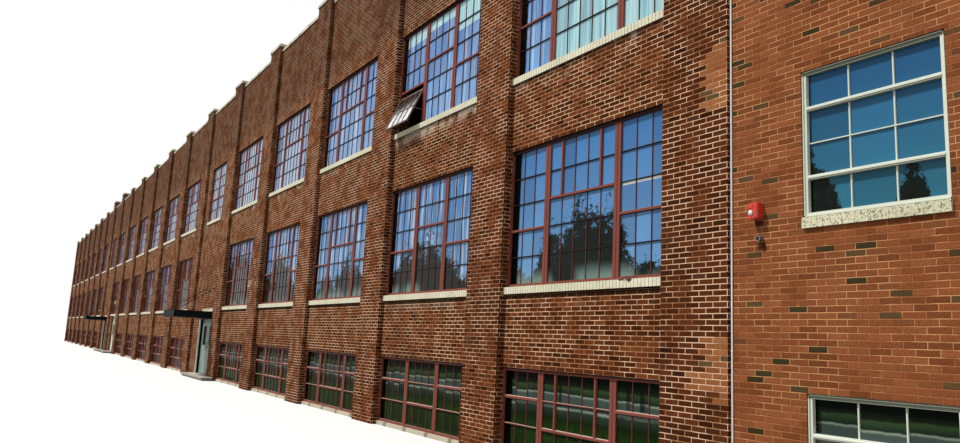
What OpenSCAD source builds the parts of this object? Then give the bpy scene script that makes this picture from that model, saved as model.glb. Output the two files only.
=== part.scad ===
// Three-storey brick factory wing with a newer wing at its right end, at 1:10.
// One millimetre here is one centimetre on the real building.
// X runs along the street front, Y from the street front to the rear, Z up.

/* [Brick wing] */
// Number of window bays along the front
bay_count = 20; // [18:1:22]
// Distance from one pilaster to the next
bay_pitch = 468; // [440:1:500]
// Width of a pilaster
pilaster_w = 104; // [80:1:120]
// How far a pilaster stands out from the wall panels
pilaster_d = 10.5; // [8:0.5:14]
// Thickness of the wall panels
wall_t = 34; // [28:1:40]
// Depth of the building between its two long wall faces
wing_depth = 1830; // [1720:10:1950]

/* [Heights] */
// Height of the stone curb under the lowest windows
curb_h = 8; // [6:1:10]
// Head of the lowest windows above the ground
low_head_z = 142; // [130:1:150]
// Top of the first-storey sills above the ground
first_sill_z = 271; // [266:1:280]
// Distance from one storey to the next
storey_h = 361; // [355:1:370]
// Height of a window opening in the upper storeys
window_h = 230; // [215:1:240]
// Underside of the parapet coping above the ground
parapet_z = 1123; // [1100:1:1140]
// How far the piers rise above the underside of the coping
pier_rise = 18; // [14:1:24]
// Extra height of the two piers beside the stair bay
stair_pier_rise = 30; // [20:1:40]

/* [Stone] */
// Thickness of a window sill
sill_t = 11.5; // [8:0.5:14]
// How far a sill stands out from its panel
sill_proud = 3; // [2:0.5:5]
// Thickness of the parapet coping and of the pier caps
coping_t = 9; // [6:0.5:12]
// How far copings and caps overhang
coping_over = 3; // [2:0.5:4]

/* [Floors] */
// Thickness of the ground floor slab
ground_t = 12; // [10:1:16]
// Thickness of an upper floor
floor_t = 20; // [16:1:26]
// Drop from a window sill to the floor inside
sill_above_floor = 86; // [78:1:95]
// How deep the stair lobbies reach behind the entrances
lobby_depth = 500; // [400:10:600]
// Top of the roof deck below the coping
parapet_inner_h = 113; // [90:1:130]

/* [Windows] */
// Depth of a frame behind the wall face
frame_back = 5; // [4:0.5:14]
// Thickness of a steel window frame
frame_t = 3; // [2.5:0.5:7]
// Width of the frame's edge
frame_edge = 5; // [4:0.5:6]
// Width of a main mullion
mullion_w = 12.5; // [10:0.5:15]
// Thickness of the glass
glass_t = 0.8; // [0.6:0.1:1.2]
// Width of the narrow windows over the canopied doors
narrow_w = 230; // [210:1:250]
// Angle of the open vent
vent_angle = 24; // [15:1:40]
// How far the vent's top edge has slid down its jambs
vent_drop = 12; // [6:1:20]
// Height of the stays that hold the vent above its sill
stay_z = 34; // [20:1:50]
// Thickness of the open vent
vent_t = 3; // [2:0.5:4]

/* [Canopied doors] */
// Width of the doorway
door_w = 214; // [200:1:226]
// Head of the doorway above the ground
door_head_z = 226; // [215:1:227]
// Depth of the door frame behind the wall face
door_back = 12; // [10:0.5:14]
// Brick between a doorway and the pilaster at its right
door_side = 24; // [20:1:40]
// Thickness of a door frame
door_frame_t = 10; // [8:0.5:11]
// Width of a door frame's jambs and head
jamb_w = 6; // [5:0.5:8]
// Thickness of a door leaf
leaf_t = 4.5; // [4:0.5:6]
// Clear gap around a door leaf
leaf_gap = 2; // [1.5:0.1:2.5]
// Width of a leaf's stiles
stile_w = 18; // [14:1:22]
// Bottom of the glass in a leaf above the ground
lite_z = 124; // [110:1:140]
// Length of a pull handle
pull_l = 24; // [18:1:30]
// Radius of a hinge knuckle
knuckle_r = 0.8; // [0.6:0.1:1]
// Height of one hinge knuckle
knuckle_h = 5; // [4:0.5:7]

/* [Canopies] */
// Width of a canopy
canopy_w = 205; // [180:1:230]
// How far a canopy reaches out
canopy_reach = 150; // [130:1:170]
// Underside of a canopy above the ground
canopy_z = 228; // [228:1:236]
// Thickness of a canopy
canopy_t = 25; // [18:1:26]
// Height of the tie rods on the wall
tie_z = 349; // [330:1:370]
// Radius of a tie rod
tie_r = 1.2; // [1:0.1:2]
// Distance from the wall to the foot of a tie rod
tie_reach = 140; // [110:1:141]

/* [Steps] */
// How far a step reaches out from the wall
step_reach = 52; // [40:1:70]
// Thickness of a step's stone slab
step_slab_t = 5; // [4:0.5:7]
// How far the slab overhangs the brick under it
step_over = 5; // [3:1:8]

/* [White entrance] */
// Width of the white entrance
white_w = 200; // [180:1:214]
// Width of its doorway
white_leaf_w = 100; // [90:1:108]
// Underside of its transom above the ground
white_transom_z = 220; // [205:1:225]
// Top of the low panel beside its door
white_low_z = 95; // [80:1:110]
// Depth of the white frame behind the wall face
white_back = 12; // [10:0.5:14]

/* [New wing] */
// Number of windows along the new wing
new_count = 4; // [3:1:5]
// Distance from one window to the next
new_pitch = 290; // [260:1:320]
// Width of a window in the new wing
new_window_w = 149; // [130:1:160]
// Brick from the joint to the first window
new_margin = 94; // [80:1:110]
// Brick from the last window to the end of the new wing
new_end_margin = 89; // [80:1:110]
// Height of an upper window in the new wing
new_window_h = 160; // [150:1:170]
// Top of the first-storey sill of the new wing
new_sill_z = 322; // [310:1:330]
// Bottom of the lowest windows of the new wing
new_low_z = 23; // [21:1:30]
// How far the new wall stands out from the old panels
new_proud = 5; // [4:0.5:8]
// Thickness of the new walls
new_wall_t = 30; // [26:1:34]
// Width of a white frame bar
new_bar = 5; // [4:0.5:6]
// Depth of a new window's frame behind the wall face
new_frame_back = 2; // [1:0.5:12]
// Thickness of a new window's frame
new_frame_t = 5; // [3:0.5:7]

/* [Fittings] */
// Radius of the conduit in the joint
conduit_r = 1.1; // [0.9:0.1:1.6]
// Gap between the last pilaster and the conduit
conduit_gap = 1.2; // [1:0.1:4]
// Distance from the joint to the alarm box
alarm_in = 32; // [24:1:40]
// Width of the alarm box
alarm_w = 13; // [11:1:16]
// Height of the alarm box itself
alarm_h = 17; // [14:1:20]
// Height of the alarm box above the ground
alarm_z = 327; // [320:1:360]
// Distance from the joint to the pipe stub
stub_in = 42; // [34:1:50]
// Height of the pipe stub above the ground
stub_z = 304.5; // [280:1:320]
// Radius of a lamp head
lamp_r = 8.5; // [6:0.5:10]
// Reach of a lamp's arm
lamp_arm = 12; // [8:1:16]

/* [Hidden] */

// Bays count from the far left end; the doors and the open vent are in these bays
stair_bay = bay_count - 13;
white_bay = bay_count - 12;
door_bay = bay_count - 6;
vent_bay = bay_count - 2;

opening_w = bay_pitch - pilaster_w;
old_l = bay_count * bay_pitch + pilaster_w;
new_l = new_margin + new_end_margin + new_window_w + (new_count - 1) * new_pitch;
full_l = old_l + new_l;
second_sill_z = first_sill_z + storey_h;
pier_z = parapet_z + pier_rise;
inner_y = wing_depth - wall_t;
mid_y = (wing_depth + pilaster_d + coping_over - canopy_reach) / 2;
first_floor_z = first_sill_z - sill_above_floor;
roof_z = parapet_z - parapet_inner_h;
low_h = low_head_z - curb_h;
tie_inset = 22;

// Pane columns of the three lights of a window, and the widths that follow
PLAIN_LIGHTS = [3, 5, 3];
EVEN_LIGHTS = [4, 4, 4];
PAIR_LIGHTS = [4, 4];

function bay_x(i) = i * bay_pitch + pilaster_w;
function total(v, i = 0) = i < len(v) ? v[i] + total(v, i + 1) : 0;
function before(v, n, i = 0) = i < n ? v[i] + before(v, n, i + 1) : 0;
function pane_w(w, lights) = (w - 2 * frame_edge - (len(lights) - 1) * mullion_w) / total(lights);
function light_x(w, lights, n) = frame_edge + before(lights, n) * pane_w(w, lights) + n * mullion_w;
function end_y(k) = wing_depth / 2 - opening_w / 2 + (k - 1) * bay_pitch;
function new_x(k) = old_l + new_margin + k * new_pitch;
function is_stair(i) = i == door_bay || i == stair_bay;
function doorway_x(i) = bay_x(i) + opening_w - door_side - door_w;
function narrow_x(i) = bay_x(i) + (opening_w - narrow_w) / 2;
white_x = bay_x(white_bay) + (opening_w - white_w) / 2;

module block(lo, hi) {
    translate(lo) cube(hi - lo);
}

module set() {
    translate([-full_l / 2, -mid_y, 0]) children();
}

// A piece drawn for the front, turned to the rear of bay i
module to_rear(i) {
    translate([2 * bay_x(i) + opening_w, wing_depth, 0]) rotate([0, 0, 180]) children();
}

// A piece drawn for the front at x = 0, turned to end window k
module to_west(k) {
    translate([0, end_y(k) + opening_w, 0]) rotate([0, 0, -90]) children();
}

// A slab across bay i of the front, from the wall face back
module front_slab(i, z0, z1, out = 0) {
    block([bay_x(i), -out, z0], [bay_x(i) + opening_w, wall_t, z1]);
}

module frame_front(w, h, lights) {
    difference() {
        square([w, h]);
        for (n = [0:len(lights) - 1])
            translate([light_x(w, lights, n), frame_edge])
                square([lights[n] * pane_w(w, lights), h - 2 * frame_edge]);
    }
}

// A window frame with its lower left corner at x and z
module frame_at(x, z, w, h, lights) {
    translate([x, frame_back + frame_t, z]) rotate([90, 0, 0])
        linear_extrude(frame_t) frame_front(w, h, lights);
}

module glass_at(x, z, w, h) {
    y = frame_back + frame_t;
    block([x, y, z], [x + w, y + glass_t, z + h]);
}

function lights_of(i) = i == vent_bay ? EVEN_LIGHTS : PLAIN_LIGHTS;

module piers_row(out_y, back_y) {
    for (i = [0:bay_count]) {
        rise = i == stair_bay || i == stair_bay + 1 ? stair_pier_rise : 0;
        block([i * bay_pitch, out_y, 0], [i * bay_pitch + pilaster_w, back_y, pier_z + rise]);
    }
}

module front_piers() {
    color("#6f4034") set() piers_row(-pilaster_d, wall_t);
}

module rear_piers() {
    color("#6f4034") set() piers_row(inner_y, wing_depth + pilaster_d);
}

module curb_stones() {
    color("#b3a48a") set() {
        for (i = [0:bay_count - 1]) {
            if (!is_stair(i) && i != white_bay) front_slab(i, 0, curb_h);
            to_rear(i) front_slab(i, 0, curb_h);
        }
    }
}

module lower_panels() {
    top = first_sill_z - sill_t;
    color("#7a4838") set() {
        for (i = [0:bay_count - 1]) {
            if (!is_stair(i) && i != white_bay) front_slab(i, low_head_z, top);
            to_rear(i) front_slab(i, low_head_z, top);
        }
    }
}

module upper_panels() {
    base = first_sill_z + window_h;
    top = second_sill_z - sill_t;
    color("#7a4838") set() {
        for (i = [0:bay_count - 1]) {
            if (!is_stair(i)) front_slab(i, base, top);
            to_rear(i) front_slab(i, base, top);
        }
    }
}

module parapet_panels() {
    base = second_sill_z + window_h;
    color("#6d4438") set() {
        for (i = [0:bay_count - 1]) {
            front_slab(i, base, parapet_z);
            to_rear(i) front_slab(i, base, parapet_z);
        }
    }
}

// Brick at both sides of a doorway, from the ground to a height
module doorway_sides(i, x, w, top) {
    block([bay_x(i), 0, 0], [x, wall_t, top]);
    block([x + w, 0, 0], [bay_x(i) + opening_w, wall_t, top]);
}

module doorway_side_walls() {
    color("#7a4838") set() {
        doorway_sides(door_bay, doorway_x(door_bay), door_w, door_head_z);
        doorway_sides(stair_bay, doorway_x(stair_bay), door_w, door_head_z);
        doorway_sides(white_bay, white_x, white_w, first_sill_z - sill_t);
    }
}

module stair_bay_walls() {
    color("#7a4838") set()
        for (i = [door_bay, stair_bay]) front_slab(i, door_head_z, second_sill_z - sill_t);
}

module narrow_window_sides() {
    base = second_sill_z - sill_t;
    top = second_sill_z + window_h;
    color("#7a4838") set()
        for (i = [door_bay, stair_bay]) {
            block([bay_x(i), 0, base], [narrow_x(i), wall_t, top]);
            block([narrow_x(i) + narrow_w, 0, base], [bay_x(i) + opening_w, wall_t, top]);
        }
}

module west_end_wall() {
    color("#6f4034") set()
        difference() {
            block([0, wall_t, 0], [wall_t, inner_y, parapet_z]);
            for (k = [0:2]) {
                for (z = [first_sill_z, second_sill_z])
                    block([-1, end_y(k), z - sill_t], [wall_t + 1, end_y(k) + opening_w, z + window_h]);
                block([-1, end_y(k), curb_h], [wall_t + 1, end_y(k) + opening_w, low_head_z]);
            }
        }
}

module joint_wall() {
    color("#6f4034") set()
        block([old_l - wall_t, wall_t, 0], [old_l, inner_y, parapet_z]);
}

// Brick of one long wall of the new wing, with its windows cut out
module new_long_wall() {
    difference() {
        block([old_l, 0, 0], [full_l, new_wall_t, parapet_z]);
        for (k = [0:new_count - 1]) {
            for (s = [0, 1]) {
                z = new_sill_z + s * storey_h;
                block([new_x(k), -1, z - sill_t], [new_x(k) + new_window_w, new_wall_t + 1, z + new_window_h]);
            }
            block([new_x(k), -1, new_low_z - sill_t],
                  [new_x(k) + new_window_w, new_wall_t + 1, low_head_z]);
        }
    }
}

module to_new_front() {
    translate([0, -new_proud, 0]) children();
}

module to_new_rear() {
    translate([2 * old_l + new_l, wing_depth + new_proud, 0]) rotate([0, 0, 180]) children();
}

module new_front_wall() {
    color("#a3542f") set() to_new_front() new_long_wall();
}

module new_rear_wall() {
    color("#a3542f") set() to_new_rear() new_long_wall();
}

module new_end_wall() {
    color("#a3542f") set()
        block([full_l - new_wall_t, new_wall_t - new_proud, 0],
              [full_l, wing_depth + new_proud - new_wall_t, parapet_z]);
}

module sill_bar(x, w, z) {
    block([x, -sill_proud, z - sill_t], [x + w, wall_t, z]);
}

module stone_sills() {
    color("#ded3b4") set() {
        for (i = [0:bay_count - 1]) {
            if (!is_stair(i)) sill_bar(bay_x(i), opening_w, first_sill_z);
            if (is_stair(i)) sill_bar(narrow_x(i), narrow_w, second_sill_z);
            else sill_bar(bay_x(i), opening_w, second_sill_z);
            for (z = [first_sill_z, second_sill_z]) to_rear(i) sill_bar(bay_x(i), opening_w, z);
        }
        for (k = [0:2]) for (z = [first_sill_z, second_sill_z]) to_west(k) sill_bar(0, opening_w, z);
    }
}

module new_wing_sills() {
    color("#ded3b4") set()
        for (k = [0:new_count - 1])
            for (z = [new_low_z, new_sill_z, new_sill_z + storey_h]) {
                to_new_front()
                    block([new_x(k), -sill_proud, z - sill_t], [new_x(k) + new_window_w, new_wall_t, z]);
                to_new_rear()
                    block([new_x(k), -sill_proud, z - sill_t], [new_x(k) + new_window_w, new_wall_t, z]);
            }
}

module parapet_copings() {
    top = parapet_z + coping_t;
    color("#d8cfb8") set() {
        for (i = [0:bay_count - 1]) {
            block([bay_x(i), -coping_over, parapet_z], [bay_x(i) + opening_w, wall_t + coping_over, top]);
            block([bay_x(i), inner_y - coping_over, parapet_z],
                  [bay_x(i) + opening_w, wing_depth + coping_over, top]);
        }
        block([old_l, -new_proud - coping_over, parapet_z],
              [full_l, new_wall_t - new_proud + coping_over, top]);
        block([old_l, wing_depth + new_proud - new_wall_t - coping_over, parapet_z],
              [full_l, wing_depth + new_proud + coping_over, top]);
    }
}

module end_copings() {
    top = parapet_z + coping_t;
    color("#d8cfb8") set() {
        block([-coping_over, wall_t, parapet_z], [wall_t + coping_over, inner_y, top]);
        block([full_l - new_wall_t - coping_over, new_wall_t - new_proud + coping_over, parapet_z],
              [full_l + coping_over, wing_depth + new_proud - new_wall_t - coping_over, top]);
    }
}

module caps_row(out_y, back_y) {
    for (i = [0:bay_count]) {
        rise = i == stair_bay || i == stair_bay + 1 ? stair_pier_rise : 0;
        z = pier_z + rise;
        block([i * bay_pitch - coping_over, out_y - coping_over, z],
              [i * bay_pitch + pilaster_w + coping_over, back_y + coping_over, z + coping_t]);
    }
}

module pier_caps() {
    color("#d8cfb8") set() {
        caps_row(-pilaster_d, wall_t);
        caps_row(inner_y, wing_depth + pilaster_d);
    }
}

// A slab inside the walls of both wings, from one height to another
module deck(z0, z1) {
    block([wall_t, wall_t, z0], [old_l - wall_t, inner_y, z1]);
    block([old_l, new_wall_t - new_proud, z0],
          [full_l - new_wall_t, wing_depth + new_proud - new_wall_t, z1]);
}

module ground_floor() {
    color("#8d8a84") set() deck(0, ground_t);
}

// The first floor stops behind the entrances, where the lobbies are two storeys high
module first_floor() {
    color("#8a7a66") set() {
        z0 = first_floor_z - floor_t;
        block([wall_t, lobby_depth, z0], [old_l - wall_t, inner_y, first_floor_z]);
        block([old_l, new_wall_t - new_proud, z0],
              [full_l - new_wall_t, wing_depth + new_proud - new_wall_t, first_floor_z]);
    }
}

module first_floor_front() {
    starts = [wall_t, bay_x(white_bay) + opening_w, bay_x(door_bay) + opening_w];
    ends = [bay_x(stair_bay), bay_x(door_bay), old_l - wall_t];
    color("#8a7a66") set()
        for (n = [0:2])
            block([starts[n], wall_t, first_floor_z - floor_t], [ends[n], lobby_depth, first_floor_z]);
}

module second_floor() {
    color("#8a7a66") set() deck(first_floor_z + storey_h - floor_t, first_floor_z + storey_h);
}

module roof_deck() {
    color("#5b5b5c") set() deck(roof_z - floor_t, roof_z);
}

module low_window_frames() {
    color("#6d3a34") set() {
        for (i = [0:bay_count - 1]) {
            if (!is_stair(i) && i != white_bay) frame_at(bay_x(i), curb_h, opening_w, low_h, lights_of(i));
            to_rear(i) frame_at(bay_x(i), curb_h, opening_w, low_h, PLAIN_LIGHTS);
        }
        for (k = [0:2]) to_west(k) frame_at(0, curb_h, opening_w, low_h, PLAIN_LIGHTS);
    }
}

module first_window_frames() {
    color("#6d3a34") set() {
        for (i = [0:bay_count - 1]) {
            if (!is_stair(i)) frame_at(bay_x(i), first_sill_z, opening_w, window_h, lights_of(i));
            to_rear(i) frame_at(bay_x(i), first_sill_z, opening_w, window_h, PLAIN_LIGHTS);
        }
        for (k = [0:2]) to_west(k) frame_at(0, first_sill_z, opening_w, window_h, PLAIN_LIGHTS);
    }
}

module second_window_frames() {
    color("#6d3a34") set() {
        for (i = [0:bay_count - 1]) {
            if (is_stair(i)) frame_at(narrow_x(i), second_sill_z, narrow_w, window_h, PAIR_LIGHTS);
            else frame_at(bay_x(i), second_sill_z, opening_w, window_h, lights_of(i));
            to_rear(i) frame_at(bay_x(i), second_sill_z, opening_w, window_h, PLAIN_LIGHTS);
        }
        block([vent_x, frame_back, vent_z + vent_h], [vent_x + vent_w, frame_back + frame_t, vent_z + vent_h + vent_rail]);
        for (k = [0:2]) to_west(k) frame_at(0, second_sill_z, opening_w, window_h, PLAIN_LIGHTS);
    }
}

// Vertical bars of a new window: one light, cut by two thick rails
module new_frame_front(h, rows) {
    clear_h = h - 2 * new_bar;
    rail_at = rows == 4 ? [clear_h / 4, 3 * clear_h / 4] : [2 * clear_h / 3];
    difference() {
        square([new_window_w, h]);
        translate([new_bar, new_bar]) square([new_window_w - 2 * new_bar, clear_h]);
    }
    for (z = rail_at)
        translate([0, new_bar + z - new_bar / 2]) square([new_window_w, new_bar]);
}

module new_frame_at(x, z, h, rows) {
    translate([x, new_frame_back + new_frame_t, z]) rotate([90, 0, 0])
        linear_extrude(new_frame_t) new_frame_front(h, rows);
}

module new_window_frames() {
    color("#e3e1d8") set()
        for (k = [0:new_count - 1]) {
            for (z = [new_sill_z, new_sill_z + storey_h]) {
                to_new_front() new_frame_at(new_x(k), z, new_window_h, 4);
                to_new_rear() new_frame_at(new_x(k), z, new_window_h, 4);
            }
            to_new_front() new_frame_at(new_x(k), new_low_z, low_head_z - new_low_z, 3);
            to_new_rear() new_frame_at(new_x(k), new_low_z, low_head_z - new_low_z, 3);
        }
}

module low_window_glass() {
    color("#33424c") set() {
        for (i = [0:bay_count - 1]) {
            if (!is_stair(i) && i != white_bay) glass_at(bay_x(i), curb_h, opening_w, low_h);
            to_rear(i) glass_at(bay_x(i), curb_h, opening_w, low_h);
        }
        for (k = [0:2]) to_west(k) glass_at(0, curb_h, opening_w, low_h);
    }
}

module first_window_glass() {
    color("#5f84a8") set() {
        for (i = [0:bay_count - 1]) {
            if (!is_stair(i)) glass_at(bay_x(i), first_sill_z, opening_w, window_h);
            to_rear(i) glass_at(bay_x(i), first_sill_z, opening_w, window_h);
        }
        for (k = [0:2]) to_west(k) glass_at(0, first_sill_z, opening_w, window_h);
    }
}

// The vent is the lower two of five pane rows in the left light of its window
vent_x = bay_x(vent_bay) + light_x(opening_w, EVEN_LIGHTS, 0);
vent_w = EVEN_LIGHTS[0] * pane_w(opening_w, EVEN_LIGHTS);
pane_h = (window_h - 2 * frame_edge) / 5;
vent_z = second_sill_z + frame_edge;
vent_h = 2 * pane_h;
vent_gap = 1;
vent_rail = 4;
shoe_h = 4;
stay_w = 2;
seat = 0.3;

// Glass of the window with the open vent, in two sheets behind the left mullion
module glass_by_vent() {
    y = frame_back + frame_t;
    split = vent_x + vent_w + mullion_w / 2;
    block([bay_x(vent_bay), y, vent_z + vent_h], [split - 0.2, y + glass_t, second_sill_z + window_h]);
    block([split + 0.2, y, second_sill_z], [bay_x(vent_bay) + opening_w, y + glass_t, second_sill_z + window_h]);
}

module second_window_glass() {
    color("#7fa6cc") set() {
        for (i = [0:bay_count - 1]) {
            if (is_stair(i)) glass_at(narrow_x(i), second_sill_z, narrow_w, window_h);
            else if (i == vent_bay) glass_by_vent();
            else glass_at(bay_x(i), second_sill_z, opening_w, window_h);
            to_rear(i) glass_at(bay_x(i), second_sill_z, opening_w, window_h);
        }
        for (k = [0:2]) to_west(k) glass_at(0, second_sill_z, opening_w, window_h);
    }
}

// A sheet of glass behind a new window's frame
module new_glass_at(x, z, h) {
    y = new_frame_back + new_frame_t;
    block([x, y, z], [x + new_window_w, y + glass_t, z + h]);
}

module new_window_glass() {
    color("#33627f") set()
        for (k = [0:new_count - 1]) {
            for (z = [new_sill_z, new_sill_z + storey_h]) {
                to_new_front() new_glass_at(new_x(k), z, new_window_h);
                to_new_rear() new_glass_at(new_x(k), z, new_window_h);
            }
            to_new_front() new_glass_at(new_x(k), new_low_z, low_head_z - new_low_z);
            to_new_rear() new_glass_at(new_x(k), new_low_z, low_head_z - new_low_z);
        }
}

// The open vent's top edge has slid down its jambs, and its lower edge is swung out to the street
module vent_placed() {
    translate([vent_x + vent_gap, frame_back + vent_t, vent_z + vent_h - vent_drop])
        rotate([-vent_angle, 0, 0])
            translate([0, 0, -vent_clear_h]) children();
}

vent_clear_w = vent_w - 2 * vent_gap;
vent_clear_h = vent_h - 2 * vent_gap;

// Sliding shoe at a top corner of the vent, and the stay from the jamb to the vent's side
module vent_fixings(x) {
    top = vent_z + vent_h - vent_drop;
    block([x, frame_back + 0.5, top - shoe_h], [x + vent_gap - seat, frame_back + vent_t, top]);
    reach = (vent_clear_h - stay_z) * sin(vent_angle);
    z = top - (vent_clear_h - stay_z) * cos(vent_angle);
    block([x, frame_back - reach, z], [x + vent_gap - seat, frame_back + frame_t, z + stay_w]);
}

module open_vent_sash() {
    color("#8d4a3e") set() {
        vent_placed()
            rotate([90, 0, 0]) linear_extrude(vent_t)
                difference() {
                    square([vent_clear_w, vent_clear_h]);
                    translate([frame_edge - 1, frame_edge - 1])
                        square([vent_clear_w - 2 * frame_edge + 2, vent_clear_h - 2 * frame_edge + 2]);
                }
        vent_fixings(vent_x + seat);
        vent_fixings(vent_x + vent_w - vent_gap);
    }
}

module open_vent_pane() {
    edge = frame_edge - 1;
    color("#c9d3d8") set() vent_placed()
        block([edge, -vent_t / 2 - glass_t / 2, edge],
              [vent_clear_w - edge, -vent_t / 2 + glass_t / 2, vent_clear_h - edge]);
}

// A canopy stands against the pilaster at the right of its bay
function canopy_x(i) = bay_x(i) + opening_w - canopy_w;

module entrance_canopies() {
    color("#15191b") set()
        for (i = [door_bay, stair_bay])
            block([canopy_x(i), -canopy_reach, canopy_z], [bay_x(i) + opening_w, 0, canopy_z + canopy_t]);
}

// A tie rod between its plate on the wall and its plate on the canopy
module tie(x) {
    plate = 1.5;
    foot_z = canopy_z + canopy_t;
    rise = tie_z - foot_z;
    rod_l = sqrt(tie_reach * tie_reach + rise * rise);
    block([x - 5, -plate, tie_z - 8], [x + 5, 0, tie_z + 8]);
    block([x - 5, -tie_reach - 8, foot_z], [x + 5, -tie_reach + 8, foot_z + plate]);
    intersection() {
        translate([x, -tie_reach, foot_z]) rotate([-atan2(tie_reach, rise), 0, 0])
            translate([0, 0, -10]) cylinder(r = tie_r, h = rod_l + 20, $fn = 24);
        block([x - 5, -tie_reach - 8, foot_z], [x + 5, 0, tie_z + 8]);
    }
}

module canopy_ties() {
    color("#15191b") set()
        for (i = [door_bay, stair_bay])
            for (x = [canopy_x(i) + tie_inset, bay_x(i) + opening_w - tie_inset]) tie(x);
}

// The pale stone band on the wall just above a canopy
module entrance_bands() {
    base = canopy_z + canopy_t + 3;
    color("#ded3b4") set()
        for (i = [door_bay, stair_bay])
            block([canopy_x(i), -sill_proud, base], [bay_x(i) + opening_w, 0, base + sill_t]);
}

// A stone slab on a brick base, from x0 to x1, with a sill that runs into the doorway
module step_at(x0, x1, wall_x1, sill_x, sill_w) {
    under = ground_t - step_slab_t;
    block([x0, -step_reach, under], [x1, -pilaster_d, ground_t]);
    block([x0, -pilaster_d, under], [wall_x1, 0, ground_t]);
    block([x0 + step_over, -step_reach + step_over, 0], [x1 - step_over, -pilaster_d, under]);
    block([x0 + step_over, -pilaster_d, 0], [min(wall_x1, x1 - step_over), 0, under]);
    block([sill_x, 0, 0], [sill_x + sill_w, wall_t, ground_t]);
}

module entrance_steps() {
    side = 20;
    color("#a09a8c") set() {
        for (i = [door_bay, stair_bay]) {
            wall_x1 = bay_x(i) + opening_w;
            step_at(doorway_x(i) - side, wall_x1 + pilaster_w + step_over, wall_x1, doorway_x(i), door_w);
        }
        step_at(white_x, white_x + white_w, white_x + white_w, white_x, white_w);
    }
}

leaf_w = (door_w - 2 * jamb_w - 3 * leaf_gap) / 2;
leaf_z = ground_t + leaf_gap;
leaf_h = door_head_z - jamb_w - leaf_gap - leaf_z;
hinge_zs = [leaf_z + 24, leaf_z + leaf_h - 40];
knuckle_gap = 0.3;
plate_w = 5;
plate_t = 0.5;

// A knuckle on the pin line at x, with its plate towards side 1 or -1
module knuckle(x, y, z, side) {
    translate([x, y - knuckle_r, z]) cylinder(r = knuckle_r, h = knuckle_h, $fn = 24);
    block([min(x, x + side * plate_w), y - plate_t, z], [max(x, x + side * plate_w), y, z + knuckle_h]);
}

// The two outer knuckles of each hinge stay on the frame, and the middle one is on the leaf
module frame_knuckles(x, y, side) {
    for (z = hinge_zs)
        for (dz = [-knuckle_h - knuckle_gap, knuckle_h + knuckle_gap]) knuckle(x, y, z + dz, side);
}

module leaf_knuckles(x, y, side) {
    for (z = hinge_zs) knuckle(x, y, z, side);
}

module door_frames() {
    color("#dedbd0") set()
        for (i = [door_bay, stair_bay]) {
            difference() {
                block([doorway_x(i), door_back, ground_t],
                      [doorway_x(i) + door_w, door_back + door_frame_t, door_head_z]);
                block([doorway_x(i) + jamb_w, door_back - 1, ground_t - 1],
                      [doorway_x(i) + door_w - jamb_w, door_back + door_frame_t + 1, door_head_z - jamb_w]);
            }
            frame_knuckles(left_leaf_x(i) - leaf_gap / 2, door_back, -1);
            frame_knuckles(right_leaf_x(i) + leaf_w + leaf_gap / 2, door_back, 1);
        }
}

// The white frame holds a door at the left, a sidelight at the right and a panel over both
white_top = first_sill_z - sill_t;
white_side_x = white_x + 2 * jamb_w + white_leaf_w;
white_leaf_x = white_x + jamb_w + leaf_gap;
white_clear_w = white_leaf_w - 2 * leaf_gap;
white_leaf_h = white_transom_z - leaf_gap - leaf_z;
white_right = white_x + white_w - jamb_w;

module white_frame() {
    back = white_back + door_frame_t;
    color("#e6e5de") set() {
        difference() {
            block([white_x, white_back, ground_t], [white_x + white_w, back, white_top]);
            block([white_x + jamb_w, white_back - 1, ground_t - 1],
                  [white_side_x - jamb_w, back + 1, white_transom_z]);
            block([white_side_x, white_back - 1, ground_t - 1], [white_right, back + 1, white_transom_z]);
            block([white_x + jamb_w, white_back - 1, white_transom_z + jamb_w],
                  [white_right, back + 1, white_top - jamb_w]);
        }
        frame_knuckles(white_leaf_x - leaf_gap / 2, white_back, -1);
    }
}

module white_panels() {
    y = white_back + 4;
    color("#d9dad5") set() {
        block([white_x + jamb_w, y, white_transom_z + jamb_w], [white_right, y + 3, white_top - jamb_w]);
        block([white_side_x, y, ground_t], [white_right, y + 3, white_low_z]);
    }
}

module white_sidelight() {
    y = white_back + 5;
    color("#2f3b40") set() block([white_side_x, y, white_low_z], [white_right, y + glass_t, white_transom_z]);
}

// A door leaf from x, with a pull handle at the side away from its hinges
module leaf(x, y, w, h, pull_x) {
    rod = 1;
    stand = 4;
    difference() {
        block([x, y, leaf_z], [x + w, y + leaf_t, leaf_z + h]);
        block([x + stile_w, y - 1, lite_z], [x + w - stile_w, y + leaf_t + 1, leaf_z + h - stile_w]);
    }
    translate([pull_x, y - stand, lite_z - pull_l / 2]) cylinder(r = rod, h = pull_l, $fn = 24);
    for (z = [-pull_l / 2 + 2, pull_l / 2 - 2])
        translate([pull_x, y, lite_z + z]) rotate([90, 0, 0]) cylinder(r = rod, h = stand, $fn = 24);
}

module pane(x, y, w, h) {
    mid = y + leaf_t / 2;
    block([x + stile_w, mid - glass_t / 2, lite_z],
          [x + w - stile_w, mid + glass_t / 2, leaf_z + h - stile_w]);
}

function left_leaf_x(i) = doorway_x(i) + jamb_w + leaf_gap;
function right_leaf_x(i) = left_leaf_x(i) + leaf_w + leaf_gap;
pull_inset = stile_w / 2;

module left_leaf(i) {
    color("#7c8a80") set() {
        leaf(left_leaf_x(i), door_back, leaf_w, leaf_h, left_leaf_x(i) + leaf_w - pull_inset);
        leaf_knuckles(left_leaf_x(i) - leaf_gap / 2, door_back, 1);
    }
}

module right_leaf(i) {
    color("#7c8a80") set() {
        leaf(right_leaf_x(i), door_back, leaf_w, leaf_h, right_leaf_x(i) + pull_inset);
        leaf_knuckles(right_leaf_x(i) + leaf_w + leaf_gap / 2, door_back, -1);
    }
}

module left_pane(i) {
    color("#1d2b28") set() pane(left_leaf_x(i), door_back, leaf_w, leaf_h);
}

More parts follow.
